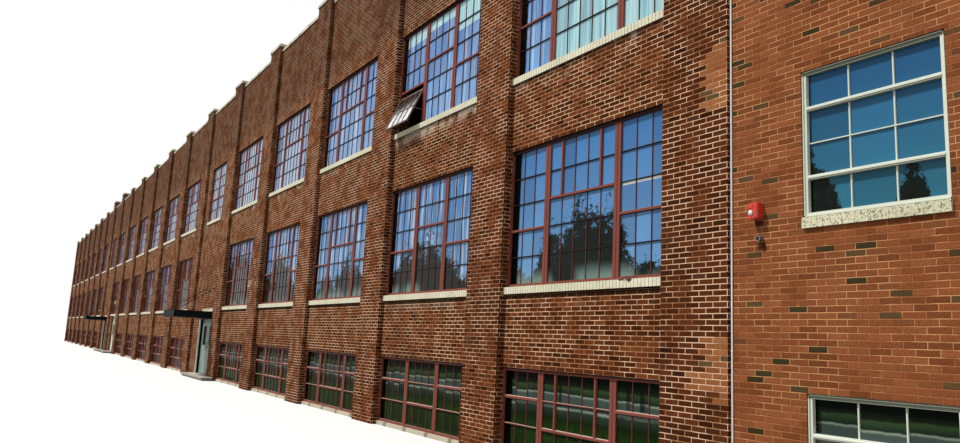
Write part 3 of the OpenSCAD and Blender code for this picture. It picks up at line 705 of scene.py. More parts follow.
@dataclass(frozen=True)
class GlassFinish:
    """Old drawn window glass over a dark room: smooth, with painted reflections of the sky and street before
    it.
    """
    name: str
    outlook: Outlook
    high: str = "#5f8fc6"
    low: str = "#86add8"
    grove: tuple[Point, ...] = ()
    hedge: float = 0.12
    haze: float = 0.0
    by_window: bool = False
    reveal_shade: float = 0.07
    tube: Point | None = None
    gloss: float = 0.3
    far_reflection: tuple[str, float, float, float] | None = None
    curtained: float = 0.0

    # Painted reflection of grass up to 0.5 of the window, then the road with its kerbs and lines, and shaded
    # trees at the top
    STREET = ((0.03, "#33492b"), (0.1, "#1c3010"), (0.4, "#213c12"), (0.5, "#16240c"), (0.6, "#2c3a2f"),
              (0.625, "#8b988c"), (0.65, "#3a4744"), (0.755, "#45534d"), (0.77, "#8a9684"),
              (0.785, "#1d2821"), (0.85, "#31492a"), (0.868, "#1b1f14"), (0.9, "#0f150d"), (1.0, "#0a0f0a"))

    def build(self) -> bpy.types.Material:
        """Makes the material.

        Returns:
            The glass material.
        """
        net = Net.material(self.name)
        span = net.add("SeparateXYZ", {0: net.add("UVMap", uv_map="window").outputs[0]}).outputs
        tone = net.add("Attribute", attribute_name="pane_tone").outputs["Fac"]
        up = net.scaled(net.minus(tone, 0.5), 0.03, span[1])
        view = PaneView(net, span[0], up, net.noise(14.0, 3.0, 0.6))
        # Painted reflection of the outlook, or the blinds behind the glass
        colour = getattr(self, self.outlook.value)(view)
        if self.far_reflection:
            colour = self.slanted_reflection(net, colour)
        colour = net.blend(0.5, colour, net.ramp(tone, (0.0, "#9a9ea6"), (1.0, "#ffffff")), "MULTIPLY")
        if self.outlook is Outlook.SKY:
            foot = net.add("Attribute", attribute_name="blind_foot").outputs["Fac"]
            colour = net.blend(net.over(span[1], foot), colour, self.blind(view))
        if self.tube:
            colour = self.ceiling_tube(net, colour)
        if self.outlook not in (Outlook.CLOUD, Outlook.BLIND):
            # Painted shade of the reveal, a dark strip down the left edge of each window
            edge = net.scaled(view.ripple, 0.012, span[0])
            colour = net.blend(net.mask(edge, self.reveal_shade + 0.006, self.reveal_shade - 0.004), colour, "#060805")
        return net.finish(colour, 0.06, self.gloss, (0.12, 0.0015, view.ripple))

    def slanted_reflection(self, net: Net, colour: Socket) -> Socket:
        """Painted reflection of another colour in the far front panes, which the street sees at a slant.

        Args:
            net: Nodes of the material.
            colour: Colour of the glass.

        Returns:
            The colour with its far end.
        """
        hue, strength, near, distant = self.far_reflection
        away = net.mask(net.axis[0], PLAN.along(near), PLAN.along(distant))
        return net.blend(net.times(away, PLAN.on_front(net), strength), colour, hue)

    def ceiling_tube(self, net: Net, colour: Socket) -> Socket:
        """Pale lamp tube that shows through the last first-storey window.

        Args:
            net: Nodes of the material.
            colour: Colour of the glass.

        Returns:
            The colour with the tube.
        """
        start, height, half = self.tube
        line = net.near(net.axis[2], height * MM, half * MM)
        seen = net.times(line, net.over(net.axis[0], PLAN.along(start)), net.below(net.axis[1], 0.0))
        return net.blend(seen, colour, "#fdfeff")

    def open_sky(self, view: PaneView) -> Socket:
        """Painted reflection of blue sky, paler towards the sill."""
        return view.net.ramp(view.level(0.12), (0.15, self.low), (1.0, self.high))

    def sky(self, view: PaneView) -> Socket:
        """Painted reflection of blue sky, with the pale upright folds of curtains behind it.

        Args:
            view: What the pattern reads.

        Returns:
            The colour.
        """
        net = view.net
        fold = net.mask(view.streaks(9.0, 160.0), 0.48, 0.66)
        if self.curtained:
            fold = net.times(fold, net.below(net.axis[0], PLAN.along(self.curtained)))
        return net.blend(net.times(fold, 0.85 if self.curtained else 0.6), self.open_sky(view), "#c9daec")

    def trees(self, view: PaneView) -> Socket:
        """Painted reflection of blue sky over dark ragged tree crowns, with pale haze along the sill.

        Args:
            view: What the pattern reads.

        Returns:
            The colour.
        """
        net = view.net
        hills = self.skyline(view)
        leaves = net.noise(7.0, 6.0, 0.85)
        boughs = net.scaled(net.noise(26.0, 2.0), 0.5, -0.25)
        ragged = net.maths("ADD", boughs, net.scaled(leaves, 1.1, -0.55))
        # Tall crowns are more ragged than the hedge below them
        outline = net.maths("ADD", hills, net.times(ragged, net.spread(hills, 0.05, 0.4, 0.25, 1.0)))
        depth = net.minus(outline, view.up)
        leafy = net.ramp(leaves, (0.4, "#060c07"), (0.58, "#0e1b11"), (0.68, "#1b3321"), (0.8, "#5f8799"))
        above = self.sky(view) if self.curtained else self.open_sky(view)
        colour = net.blend(net.mask(depth, -0.012, 0.02), above, leafy)
        drift = net.mask(net.noise(130.0, 2.0), 0.42, 0.56)
        mist = net.times(net.mask(view.up, 0.15, 0.02), drift, self.haze)
        return net.blend(mist, colour, "#93b1a9")

    def skyline(self, view: PaneView) -> Socket:
        """Height of the reflected hedge and tree crowns, whose tall ones stand before the front only.

        Args:
            view: What the pattern reads.

        Returns:
            Share of the window's height.
        """
        net = view.net
        hills = net.scaled(view.streaks(60.0, 900.0), 0.16, self.hedge - 0.08)
        tall = 1.0 if self.by_window else net.scaled(PLAN.on_front(net), 0.7, 0.3)
        for middle, half, height in self.grove:
            if self.by_window:
                crown = net.spread(net.apart(view.across, middle), half, 0.0, 0.0, height)
            else:
                off = net.apart(net.axis[0], PLAN.along(middle))
                crown = net.spread(off, half * MM, 0.0, 0.0, height, "SMOOTHSTEP")
            hills = net.maths("MAXIMUM", hills, net.times(crown, tall))
        return hills

    def lawn(self, view: PaneView) -> Socket:
        """Painted reflection of dark grass, a grey road with pale lines, and shaded trees over it.

        Args:
            view: What the pattern reads.

        Returns:
            The colour.
        """
        net, level = view.net, view.level(0.03)
        blades = net.times(net.mask(view.streaks(2.5, 14.0), 0.42, 0.64), net.mask(level, 0.5, 0.44), 0.6)
        trunks = net.times(net.mask(view.streaks(30.0, 400.0), 0.56, 0.62), net.mask(level, 0.62, 0.7), 0.8)
        return net.blend(trunks, net.blend(blades, net.ramp(level, *self.STREET), "#101a09"), "#0d130c")

    def dark(self, view: PaneView) -> Socket:
        """A dim green-grey reflection."""
        return view.net.ramp(view.level(0.4), (0.2, "#18231f"), (1.0, "#2d4038"))

    def cloud(self, view: PaneView) -> Socket:
        """Painted reflection of bright haze below, with a dark room above, as in a pane tipped to the ground.

        Args:
            view: What the pattern reads.

        Returns:
            The colour.
        """
        net, level = view.net, view.level(0.3)
        bright = net.ramp(level, (0.3, "#ffffff"), (0.6, "#dcdcda"), (0.72, "#6b6764"), (0.95, "#2a2523"))
        return net.blend(net.times(net.mask(view.streaks(5.0, 60.0), 0.52, 0.6), 0.6), bright, "#4b4946")

    def blind(self, view: PaneView) -> Socket:
        """Pale aqua blinds behind the glass."""
        return view.net.ramp(view.streaks(7.0, 300.0), (0.35, "#78aabd"), (0.5, "#a3d2dc"), (0.7, "#c9eeea"))


@dataclass(frozen=True)
class FlatFinish:
    """Concrete, boards or roofing felt: matt, mottled, with joints every so many millimetres."""
    name: str
    colour: str
    dark: str
    joint_mm: float = 100.0
    rough: float = 0.9

    def build(self) -> bpy.types.Material:
        """Makes the material.

        Returns:
            The floor or roof material.
        """
        net = Net.material(self.name)
        run = net.maths("DIVIDE", net.axis[1], self.joint_mm * MM)
        seam = net.mask(net.maths("PINGPONG", run, 0.5), 0.0, 0.03)
        colour = net.ramp(net.noise(120.0, 6.0, 0.6), (0.3, self.dark), (0.7, self.colour))
        colour = net.blend(net.times(net.minus(1.0, seam), 0.5), colour, self.dark)
        return net.finish(colour, self.rough, 0.5, (0.4, 0.0005, net.scaled(net.noise(3.0), 0.4, seam)))


OLD_SHADES = ((0.0, "#3b1d0d"), (0.1, "#512a14"), (0.35, "#5e3017"), (0.6, "#69371b"), (0.85, "#764022"),
              (1.0, "#824828"))
PILASTER_SHADES = ((0.0, "#371b0d"), (0.06, "#4e2a15"), (0.35, "#61331b"), (0.7, "#703c20"),
                   (0.95, "#7e4626"), (1.0, "#5b3d2c"))
NEW_SHADES = ((0.0, "#3e3722"), (0.025, "#4a4029"), (0.045, "#6b5237"), (0.065, "#7f492b"), (0.3, "#8f5230"),
              (0.6, "#995835"), (0.85, "#a3613d"), (1.0, "#8a5433"))

# Tree crowns that the front panes reflect: middle and half width along the building in source millimetres,
# and height as a share of the window. Those of the newer wing's windows are all shares of the window.
STREET_TREES = ((9190, 135, 0.5), (9240, 80, 0.44), (9110, 70, 0.36), (9010, 60, 0.16), (8690, 230, 0.46),
                (8600, 100, 0.38), (8300, 170, 0.42), (8150, 90, 0.3), (7740, 260, 0.62), (7250, 420, 0.85),
                (6300, 900, 1.1), (4600, 1500, 1.1))
WINDOW_TREES = ((0.05, 0.2, 0.44), (0.13, 0.16, 0.3), (0.75, 0.13, 0.3))
DRIPS = ((PLAN.old_l + PLAN.stub_in, PLAN.stub_z - 3.5, 14),
         (PLAN.old_l + PLAN.alarm_in + 7, PLAN.alarm_z - 1, 10))
CHIP = (PLAN.bay_x(PLAN.bays - 1) + 291, 13, PLAN.first_sill - 3)
TUBE = (PLAN.bay_x(PLAN.bays - 1) + 272, PLAN.first_sill + 134.5, 1.9)


@dataclass
class Wardrobe:
    """Makes each finish once and hands it out by name."""
    made: dict[str, bpy.types.Material] = field(default_factory=dict)

    FINISHES = (
        # Dark red brick of 20.8 mm with its joint, pale lime joints, painted black shadow with wash, and
        # white bloom, under the sills
        BrickFinish("old_clay_brick", OLD_SHADES, ("#edc69f", "#b27b53"), 20.8, soot=0.2, stained_and_shadowed=True,
                    seed=1.0, joint_mm=1.12, sooty_top=0.4),
        # The same brick without the painted sill shadow and wash, with newer bricks toothed into the corner
        BrickFinish("old_pilaster_brick", PILASTER_SHADES, ("#efc5a2", "#a56f4a"), 20.8, soot=0.25,
                    toothed=True, seed=2.0, joint_mm=1.12, sooty_top=0.4),
        # Even orange brick of 21.6 mm with a few burnt dark ones
        BrickFinish("new_clay_brick", NEW_SHADES, ("#cd9566", "#9f6440"), 21.6, soot=0.12, seed=3.0,
                    drips=DRIPS),
        # Cream paint on upright bricks of 6.8 mm; its flecks are drawn coarser than real ones, to show at all
        StoneFinish("painted_sill_brick", "#e8e4c8", chipped=CHIP),
        # Yellower sill, with bolder black flecks where the paint has gone
        StoneFinish("newer_sill_brick", "#e2dfbe", dirt="#4e4433", wear=0.95, fleck=0.53, grit_mm=2.6,
                    plain=0.8),
        # Grey-cream blocks of 90 mm
        StoneFinish("cast_stone_coping", "#cfc7b0", rib_mm=90.0, wear=0.25),
        # Chalky brown-red frames, dusty with painted highlight on top, and black with soot and painted shade
        # below and painted shadow at the heads
        PaintFinish("oxide_red_window_paint", "#87493e", under="#5a3129", rough=0.65, gloss=0.12,
                    soot="#0d0605", shaded_heads=PLAN.shaded_heads()),
        # Slim bars of the same paint, duller and browner
        PaintFinish("weathered_bar_paint", "#683a31", under="#3f2a26", rough=0.65, gloss=0.12, soot="#0e0707",
                    shaded_heads=PLAN.shaded_heads()),
        # Crossbars painted nearly black as painted shade, with a thin grey-brown line of dust and painted
        # highlight on top
        PaintFinish("shaded_crossbar_paint", "#2c1d1c", under="#171011", rough=0.7, gloss=0.08, soot="#0a0606",
                    dust_and_highlight="#6d5a52"),
        # Dark line down the middle of each mullion: painted shade in its groove
        PaintFinish("shaded_seam_paint", "#3d201b", under="#241412", rough=0.7, gloss=0.08, soot="#0e0707"),
        # Greyed paint with many rust spots on the open vent, with painted shade and soot below
        PaintFinish("grimy_vent_paint", "#75594f", under="#2d2320", soot="#120a0a", spots=0.5),
        # Greenish white frames, with painted shade under each rail and painted shadow at the heads, and pale
        # dust with painted highlight on top
        PaintFinish("white_window_paint", "#dadfcf", under="#8c877a", spots=0.15, mottle=0.15, soot="#4a4f3a",
                    dust_and_highlight="#ecefe2", shaded_heads=PLAN.new_shaded_heads(), head_shade=0.8),
        # Off-white, grey-green and blue-black door and canopy paints, each with a few dull spots
        PaintFinish("white_door_paint", "#d3d8c8", under="#8c877a", spots=0.2),
        PaintFinish("grey_green_door_paint", "#86988b", under="#5e6a60", spots=0.2),
        PaintFinish("black_canopy_paint", "#0b1114", under="#20211f", rough=0.7, gloss=0.1),
        # Bright clean white, the lightest line on the front
        PaintFinish("white_conduit_paint", "#f6f5f0", under="#bdb7aa", spots=0.1, mottle=0.08),
        # Glossy red box and its milky lens
        PaintFinish("red_alarm_enamel", "#dc4434", under="#9a2f25", rough=0.25, spots=0.1),
        PaintFinish("strobe_lens", "#eeeef0", under="#9a9a9c", rough=0.15, gloss=0.5, spots=0.3, mottle=0.1),
        # Tan enamel with rusty spots
        PaintFinish("tan_lamp_enamel", "#d8a67f", under="#6a4a33", rough=0.35, spots=0.3),
        # Grey metal; its spangle is about 1 mm, as on the real sheet, and not cut to scale, so that it shows
        SteelFinish("galvanised_steel"),
        # Painted reflection of blue sky, with curtain folds, greyer far away
        GlassFinish("upper_window_glass", Outlook.SKY, "#3f79c2", "#6ea3dc", gloss=0.35,
                    far_reflection=("#bcc4cf", 0.6, 8500, 7300)),
        # Painted reflection of sky over trees and a misty sill, brown with the opposite walls far away
        GlassFinish("middle_window_glass", Outlook.TREES, "#4780bc", "#6fa1d0", grove=STREET_TREES, hedge=0.1,
                    haze=0.6, tube=TUBE, gloss=0.1, curtained=9000, far_reflection=("#5d453b", 0.6, 7500, 6600)),
        # Painted reflection of dark grass and road
        GlassFinish("lawn_window_glass", Outlook.LAWN, gloss=0.01, far_reflection=("#4a2a22", 0.8, 7000, 6500)),
        # Aqua blinds close behind the glass
        GlassFinish("blind_window_glass", Outlook.BLIND),
        # Painted reflection of deep clear blue with two dark trees at the foot, and of the lawn in the low
        # windows
        GlassFinish("new_window_glass", Outlook.TREES, "#2f6796", "#34748c", by_window=True, hedge=-0.12,
                    grove=WINDOW_TREES, reveal_shade=0.045, gloss=0.1),
        GlassFinish("new_low_glass", Outlook.LAWN, reveal_shade=0.045, gloss=0.02),
        # Painted dim green-grey reflection in the door panes
        GlassFinish("dark_door_glass", Outlook.DARK, gloss=0.12),
        # Painted white glare low in the tipped panes
        GlassFinish("vent_window_glass", Outlook.CLOUD, gloss=0.2),
        # Pale slabs of 100 mm, boards of 10 mm and felt in strips of 100 mm
        FlatFinish("cast_concrete", "#c2bdaf", "#8d877b"),
        FlatFinish("worn_floorboards", "#8a7658", "#5d4c38", joint_mm=10.0),
        FlatFinish("roofing_felt", "#5c5d5e", "#3f4041"),
    )

    def get(self, name: str) -> bpy.types.Material:
        """Gives the material of a name.

        Args:
            name: Name of the finish.

        Returns:
            The material, made on first use.
        """
        if name not in self.made:
            self.made[name] = next(f for f in self.FINISHES if f.name == name).build()
        return self.made[name]

    def dress(self, name: str, *nodes: str) -> None:
        """Gives one finish to CAD nodes.

        Args:
            name: Name of the finish.
            nodes: CAD nodes that wear it.
        """
        for node in nodes:
            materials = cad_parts[node].data.materials
            materials.clear()
            materials.append(self.get(name))


WARDROBE = Wardrobe()


@dataclass
class Piece:
    """One visual piece, built up in a bmesh in metres."""
    name: str
    finish: str
    slot: str
    body: str = "building"
    mesh: bmesh.types.BMesh = field(default_factory=bmesh.new)

    SOLID = True

    def bar(self, at: Matrix, low: Point, high: Point, taper: float = 0.0) -> None:
        """Adds a bar, narrower towards the street by a taper on each side.

        Args:
            at: Matrix from local millimetres to metres.
            low: Lowest corner in local millimetres.
            high: Highest corner in local millimetres.
            taper: How much each side draws in at the street face, in millimetres.
        """
        lo, hi = Vector(low), Vector(high)
        made = bmesh.ops.create_cube(self.mesh, size=1.0)["verts"]
        bmesh.ops.scale(self.mesh, vec=hi - lo, verts=made)
        if taper:
            flat = 0 if hi.x - lo.x < hi.z - lo.z else 2
            wide = (hi - lo)[flat]
            slim = Vector((1.0, 1.0, 1.0))
            slim[flat] = (wide - 2 * taper) / wide
            bmesh.ops.scale(self.mesh, vec=slim, verts=[v for v in made if v.co.y < 0])
        bmesh.ops.transform(self.mesh, matrix=at @ Matrix.Translation((lo + hi) / 2), verts=made)

    def upright(self, at: Matrix, x: float, reach: Pair, size: Point, back: float) -> None:
        """Adds an upright bar around x, by its foot and head, its width, depth and taper, and its back."""
        wide, deep, taper = size
        self.bar(at, (x - wide / 2, back - deep, reach[0]), (x + wide / 2, back, reach[1]), taper)

    def crossing(self, at: Matrix, z: float, reach: Pair, size: Point, back: float) -> None:
        """Adds a level bar around z, by its left and right, its height, depth and taper, and its back."""
        high, deep, taper = size
        self.bar(at, (reach[0], back - deep, z - high / 2), (reach[1], back, z + high / 2), taper)

    def rod(self, at: Matrix, start: Point, end: Point, radius: float, sides: int = 12) -> None:
        """Adds a round rod between two points.

        Args:
            at: Matrix from local millimetres to metres.
            start: One end in local millimetres.
            end: Other end in local millimetres.
            radius: Radius in millimetres.
            sides: Faces around the rod.
        """
        a, b = Vector(start), Vector(end)
        turn = (b - a).to_track_quat("Z", "Y").to_matrix().to_4x4()
        bmesh.ops.create_cone(self.mesh, cap_ends=True, segments=sides, radius1=radius, radius2=radius,
                              depth=(b - a).length, matrix=at @ Matrix.Translation((a + b) / 2) @ turn)

    def finish_piece(self, *replaces: str, bevel_mm: float = 0.0) -> None:
        """Turns the bmesh into an object that rides on its body.

        Args:
            replaces: CAD nodes that the piece stands for.
            bevel_mm: Width of a bevel on all sharp edges, in millimetres.
        """
        if bevel_mm:
            bmesh.ops.bevel(self.mesh, geom=self.mesh.edges[:], offset=bevel_mm * MM, segments=1, profile=0.5,
                            affect="EDGES", material=-1)
        if self.SOLID:
            bmesh.ops.recalc_face_normals(self.mesh, faces=self.mesh.faces[:])
        data = bpy.data.meshes.new(self.name)
        self.mesh.to_mesh(data)
        self.mesh.free()
        data.materials.append(WARDROBE.get(self.finish))
        piece = bpy.data.objects.new(self.name, data)
        bpy.context.scene.collection.objects.link(piece)
        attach(piece, self.body)
        if replaces:
            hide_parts(*replaces)
        LOG.info("%s: %d faces on %s", self.name, len(data.polygons), self.body)


@dataclass
class Glazing(Piece):
    """Panes of glass, each tipped a little, with its own tone and its place in the window as a UV."""
    slot: str = "window_glass"
    chance: random.Random = field(default_factory=lambda: random.Random(7))

    # Loose sheets keep the way that they face
    SOLID = False
    TIP = 0.004
    NO_BLIND = 2.0

    def pane(self, at: Matrix, low: Pair, high: Pair, depth: float, window: Pair,
             blind: float = NO_BLIND) -> None:
        """Adds one pane.

        Args:
            at: Matrix from window millimetres to metres.
            low: Left and bottom edge in the window.
            high: Right and top edge in the window.
            depth: Distance behind the wall face.
            window: Width and height of the whole window.
            blind: Share of the window's height down to which a blind hangs, over 1 where there is none.
        """
        layer = self.mesh.loops.layers.uv.get("window") or self.mesh.loops.layers.uv.new("window")
        floats = self.mesh.faces.layers.float
        tone, foot = (floats.get(name) or floats.new(name) for name in ("pane_tone", "blind_foot"))
        made = bmesh.ops.create_grid(self.mesh, x_segments=1, y_segments=1, size=0.5)["verts"]
        middle = Matrix.Translation(((low[0] + high[0]) / 2, depth, (low[1] + high[1]) / 2))
        for axis in "XZ":
            middle = middle @ Matrix.Rotation(self.chance.gauss(0, self.TIP), 4, axis)
        size = Matrix.Diagonal((high[0] - low[0], high[1] - low[1], 1, 1))
        local = middle @ Matrix.Rotation(math.pi / 2, 4, "X") @ size
        face = made[0].link_faces[0]
        face[tone] = self.chance.random()
        face[foot] = blind
        for loop in face.loops:
            spot = local @ loop.vert.co
            loop[layer].uv = (spot.x / window[0], spot.z / window[1])
        bmesh.ops.transform(self.mesh, matrix=at @ local, verts=made)


@dataclass(frozen=True)
class SteelWindow:
    """A steel window: lights between mullions, each with columns and rows of panes and one heavy rail.

    The sizes of its bars are width, depth and taper, in millimetres.
    """
    width: float
    height: float
    lights: tuple[int, ...]
    rows: int
    rails: tuple[int, ...]
    extra_mullions: bool = False
    open_rows: int = 0
    blinds: Point = (Glazing.NO_BLIND,) * 3
    bar: Point = (1.9, 1.5, 0.4)
    crossbar: Point = (2.2, 2.2, 0.5)
    rail: Point = (5.6, 3.6, 1.1)
    seam: Point = (0.9, 0.25, 0.2)
    extra: Point = (4.8, 3.4, 0.6)
    seam_end: float = 0.5
    glass_in: float = 0.2

    @property
    def pane_w(self) -> float:
        """Width of one pane column."""
        clear = self.width - 2 * PLAN.edge - (len(self.lights) - 1) * PLAN.mullion
        return clear / sum(self.lights)

    @property
    def row_h(self) -> float:
        """Height of one pane row."""
        return (self.height - 2 * PLAN.edge) / self.rows

    def light_x(self, number: int) -> float:
        """Left edge of a light."""
        return PLAN.edge + sum(self.lights[:number]) * self.pane_w + number * PLAN.mullion

    def build(self, metal: tuple[Piece, ...], glass: Glazing, at: Matrix,
              blinds: Glazing | None = None) -> None:
        """Adds the window's bars and panes.

        Args:
            metal: Pieces that take the rails with the extra mullions, the upright glazing bars, the
                crossbars, and the mullions' seams.
            glass: Piece that takes the panes.
            at: Matrix from window millimetres to metres.
            blinds: Piece that takes the panes right of the first light, where blinds hang behind them.
        """
        rails, _, _, seams = metal
        back = PLAN.frame_back + PLAN.frame_t
        head = self.height - PLAN.edge
        for number in range(len(self.lights)):
            self.build_light(number, metal, blinds if blinds and number else glass, at)
        for number in range(1, len(self.lights)):
            x = self.light_x(number) - PLAN.mullion / 2
            seams.upright(at, x, (self.seam_end, self.height - self.seam_end), self.seam, PLAN.frame_back)
        if self.extra_mullions:
            foot = PLAN.edge + self.rails[1] * self.row_h
            for column in (1, self.lights[1] - 1):
                rails.upright(at, self.light_x(1) + column * self.pane_w, (foot, head), self.extra, back)

    def build_light(self, number: int, metal: tuple[Piece, ...], panes: Glazing, at: Matrix) -> None:
        """Adds the bars and panes of one light.

        Args:
            number: Number of the light from the left.
            metal: Pieces as build takes them.
            panes: Piece that takes the panes.
            at: Matrix from window millimetres to metres.
        """
        rails, slim, cross, _ = metal
        back = PLAN.frame_back + PLAN.frame_t
        columns, left = self.lights[number], self.light_x(number)
        xs = [left + column * self.pane_w for column in range(columns + 1)]
        missing = self.open_rows if number == 0 else 0
        for x in xs[1:-1]:
            slim.upright(at, x, (PLAN.edge + missing * self.row_h, self.height - PLAN.edge), self.bar, back)
        for row in range(missing + 1, self.rows):
            heavy = row == self.rails[number]
            taker, size = (rails, self.rail) if heavy else (cross, self.crossbar)
            taker.crossing(at, PLAN.edge + row * self.row_h, (left, xs[-1]), size, back)
        for x in xs[:-1]:
            for row in range(missing, self.rows):
                z = PLAN.edge + row * self.row_h
                panes.pane(at, (x, z), (x + self.pane_w, z + self.row_h), back - self.glass_in,
                           (self.width, self.height), self.blinds[number])


@dataclass
class OldWing:
    """The old brick wing: brickwork, stone, and its rows of steel windows."""
    plan: Plan = PLAN
    low_crossbar: Point = (2.2, 3.2, 0.5)
    vent_edge: float = 4.0
    vent_bar: Point = (2.4, 2.4, 0.4)
    vent_bar_back: float = -0.4
    vent_glass_back: float = -1.5
    prop_r: float = 0.9

    # Storeys from the ground: their word, their glass, the finish of their crossbars and their rows of panes
    STOREYS = (("low", "lawn_window_glass", "oxide_red_window_paint", 3),
               ("first", "middle_window_glass", "shaded_crossbar_paint", 5),
               ("second", "upper_window_glass", "shaded_crossbar_paint", 5))
    VENT_ROWS = 2
    VENT_BLINDS = (0.86, 0.89, 0.72)

    def dress(self) -> None:
        """Gives the wing's CAD nodes their finishes."""
        WARDROBE.dress("old_clay_brick", "lower_panels", "upper_panels", "parapet_panels",
                       "doorway_side_walls", "stair_bay_walls", "narrow_window_sides", "west_end_wall",
                       "joint_wall")
        WARDROBE.dress("old_pilaster_brick", "front_piers", "rear_piers")
        WARDROBE.dress("painted_sill_brick", "stone_sills", "entrance_bands")
        WARDROBE.dress("cast_stone_coping", "curb_stones", "parapet_copings", "end_copings", "pier_caps")
        WARDROBE.dress("oxide_red_window_paint", *[f"{row[0]}_window_frames" for row in self.STOREYS])
        WARDROBE.dress("grimy_vent_paint", "open_vent_sash")

    def window(self, bay: int | None, storey: int) -> SteelWindow:
        """Describes the window of a bay.

        Args:
            bay: Bay number on the front, or None for the rear and end walls.
            storey: 0 at the ground, 1 or 2.

        Returns:
            The window.
        """
        plan, rows = self.plan, self.STOREYS[storey][3]
        if storey == 2 and bay in plan.doors:
            return SteelWindow(plan.narrow_w, plan.window_h, (4, 4), rows, (2, 2))
        even = bay == plan.vent_bay
        lights = (4, 4, 4) if even else (3, 5, 3)
        if storey == 0:
            return SteelWindow(plan.opening, plan.low_head - plan.curb, lights, rows, (2, 1, 2),
                               extra_mullions=not even, crossbar=self.low_crossbar)
        vented = {"open_rows": self.VENT_ROWS, "blinds": self.VENT_BLINDS} if even and storey == 2 else {}
        return SteelWindow(plan.opening, plan.window_h, lights, rows, (2, 3, 2),
                           extra_mullions=not even, **vented)

    def build_windows(self) -> None:
        """Builds the bars and panes of all storeys."""
        blinds = Glazing("second_blind_panes", "blind_window_glass")
        sills = (self.plan.curb, self.plan.first_sill, self.plan.second_sill)
        for storey, (word, glass_finish, cross_finish, _) in enumerate(self.STOREYS):
            metal = tuple(Piece(f"{word}_{part}", finish, "red_frame") for part, finish in (
                ("window_rails", "oxide_red_window_paint"), ("window_bars", "weathered_bar_paint"),
                ("window_crossbars", cross_finish), ("mullion_seams", "shaded_seam_paint")))
            glass = Glazing(f"{word}_window_panes", glass_finish)
            self.fill_storey(storey, sills[storey], metal, glass, blinds)
            for piece in metal:
                piece.finish_piece()
            glass.finish_piece(f"{word}_window_glass")
        blinds.finish_piece()

    def fill_storey(self, storey: int, sill: float, metal: tuple[Piece, ...], glass: Glazing,
                    blinds: Glazing) -> None:
        """Adds the windows of one storey on the front, the rear and the far end.

        Args:
            storey: 0 at the ground, 1 or 2.
            sill: Height of the storey's sills.
            metal: Pieces as SteelWindow.build takes them.
            glass: Piece that takes the panes.
            blinds: Piece that takes the panes with blinds behind them, in the last bay.
        """
        plan, plain = self.plan, self.window(None, storey)
        for bay in range(plan.bays):
            closed = storey < 2 and bay in plan.doors or storey == 0 and bay == plan.white_bay
            if not closed:
                window = self.window(bay, storey)
                x = plan.bay_x(bay) + (plan.opening - window.width) / 2
                drawn = blinds if storey == 2 and bay == plan.bays - 1 else None
                window.build(metal, glass, plan.place(x, 0, sill), drawn)
            plain.build(metal, glass, plan.rear(bay, sill))
        for number in range(3):
            plain.build(metal, glass, plan.west(number, sill))

    def build_vent(self) -> None:
        """Builds the bars, panes and prop of the open vent, whose lower edge swings out to the street."""
        plan, edge = self.plan, self.vent_edge
        window = self.window(plan.vent_bay, 2)
        columns = window.lights[0]
        wide = columns * window.pane_w - 2 * plan.vent_gap
        high = self.VENT_ROWS * window.row_h - 2 * plan.vent_gap
        top = plan.second_sill + plan.edge + high + 2 * plan.vent_gap - plan.vent_drop
        left = plan.bay_x(plan.vent_bay) + window.light_x(0) + plan.vent_gap
        lean = math.radians(plan.vent_angle)
        at = plan.place(left, plan.frame_back + plan.frame_t, top)
        at = at @ Matrix.Rotation(-lean, 4, "X") @ Matrix.Translation((0, 0, -high))
        self.build_prop(left, (wide * 0.2, high * math.sin(lean), top - high * math.cos(lean)))
        bars = Piece("open_vent_bars", "grimy_vent_paint", "red_frame")
        glass = Glazing("open_vent_panes", "vent_window_glass")
        step = (wide - 2 * edge) / columns
        for column in range(1, columns):
            bars.upright(at, edge + column * step, (edge, high - edge), self.vent_bar, self.vent_bar_back)
        bars.crossing(at, high / 2, (edge, wide - edge), self.vent_bar, self.vent_bar_back)
        for column in range(columns):
            for low, up in ((edge, high / 2), (high / 2, high - edge)):
                x = edge + column * step
                glass.pane(at, (x, low), (x + step, up), self.vent_glass_back, (wide, high))
        bars.finish_piece()
        glass.finish_piece("open_vent_pane")

    def build_prop(self, left: float, foot: Point) -> None:
        """Builds the rod that holds the vent open.

        Args:
            left: Left edge of the vent.
            foot: Place across the vent, reach and height of the vent's lower edge, in millimetres.
        """
        plan, (x, reach, z) = self.plan, foot
        prop = Piece("open_vent_prop", "galvanised_steel", "pipe")
        prop.rod(plan.place(left), (x, plan.frame_back - 1, plan.second_sill + 0.3),
                 (x, plan.frame_back + plan.frame_t - reach + 1, z + 2), self.prop_r)
        prop.finish_piece()


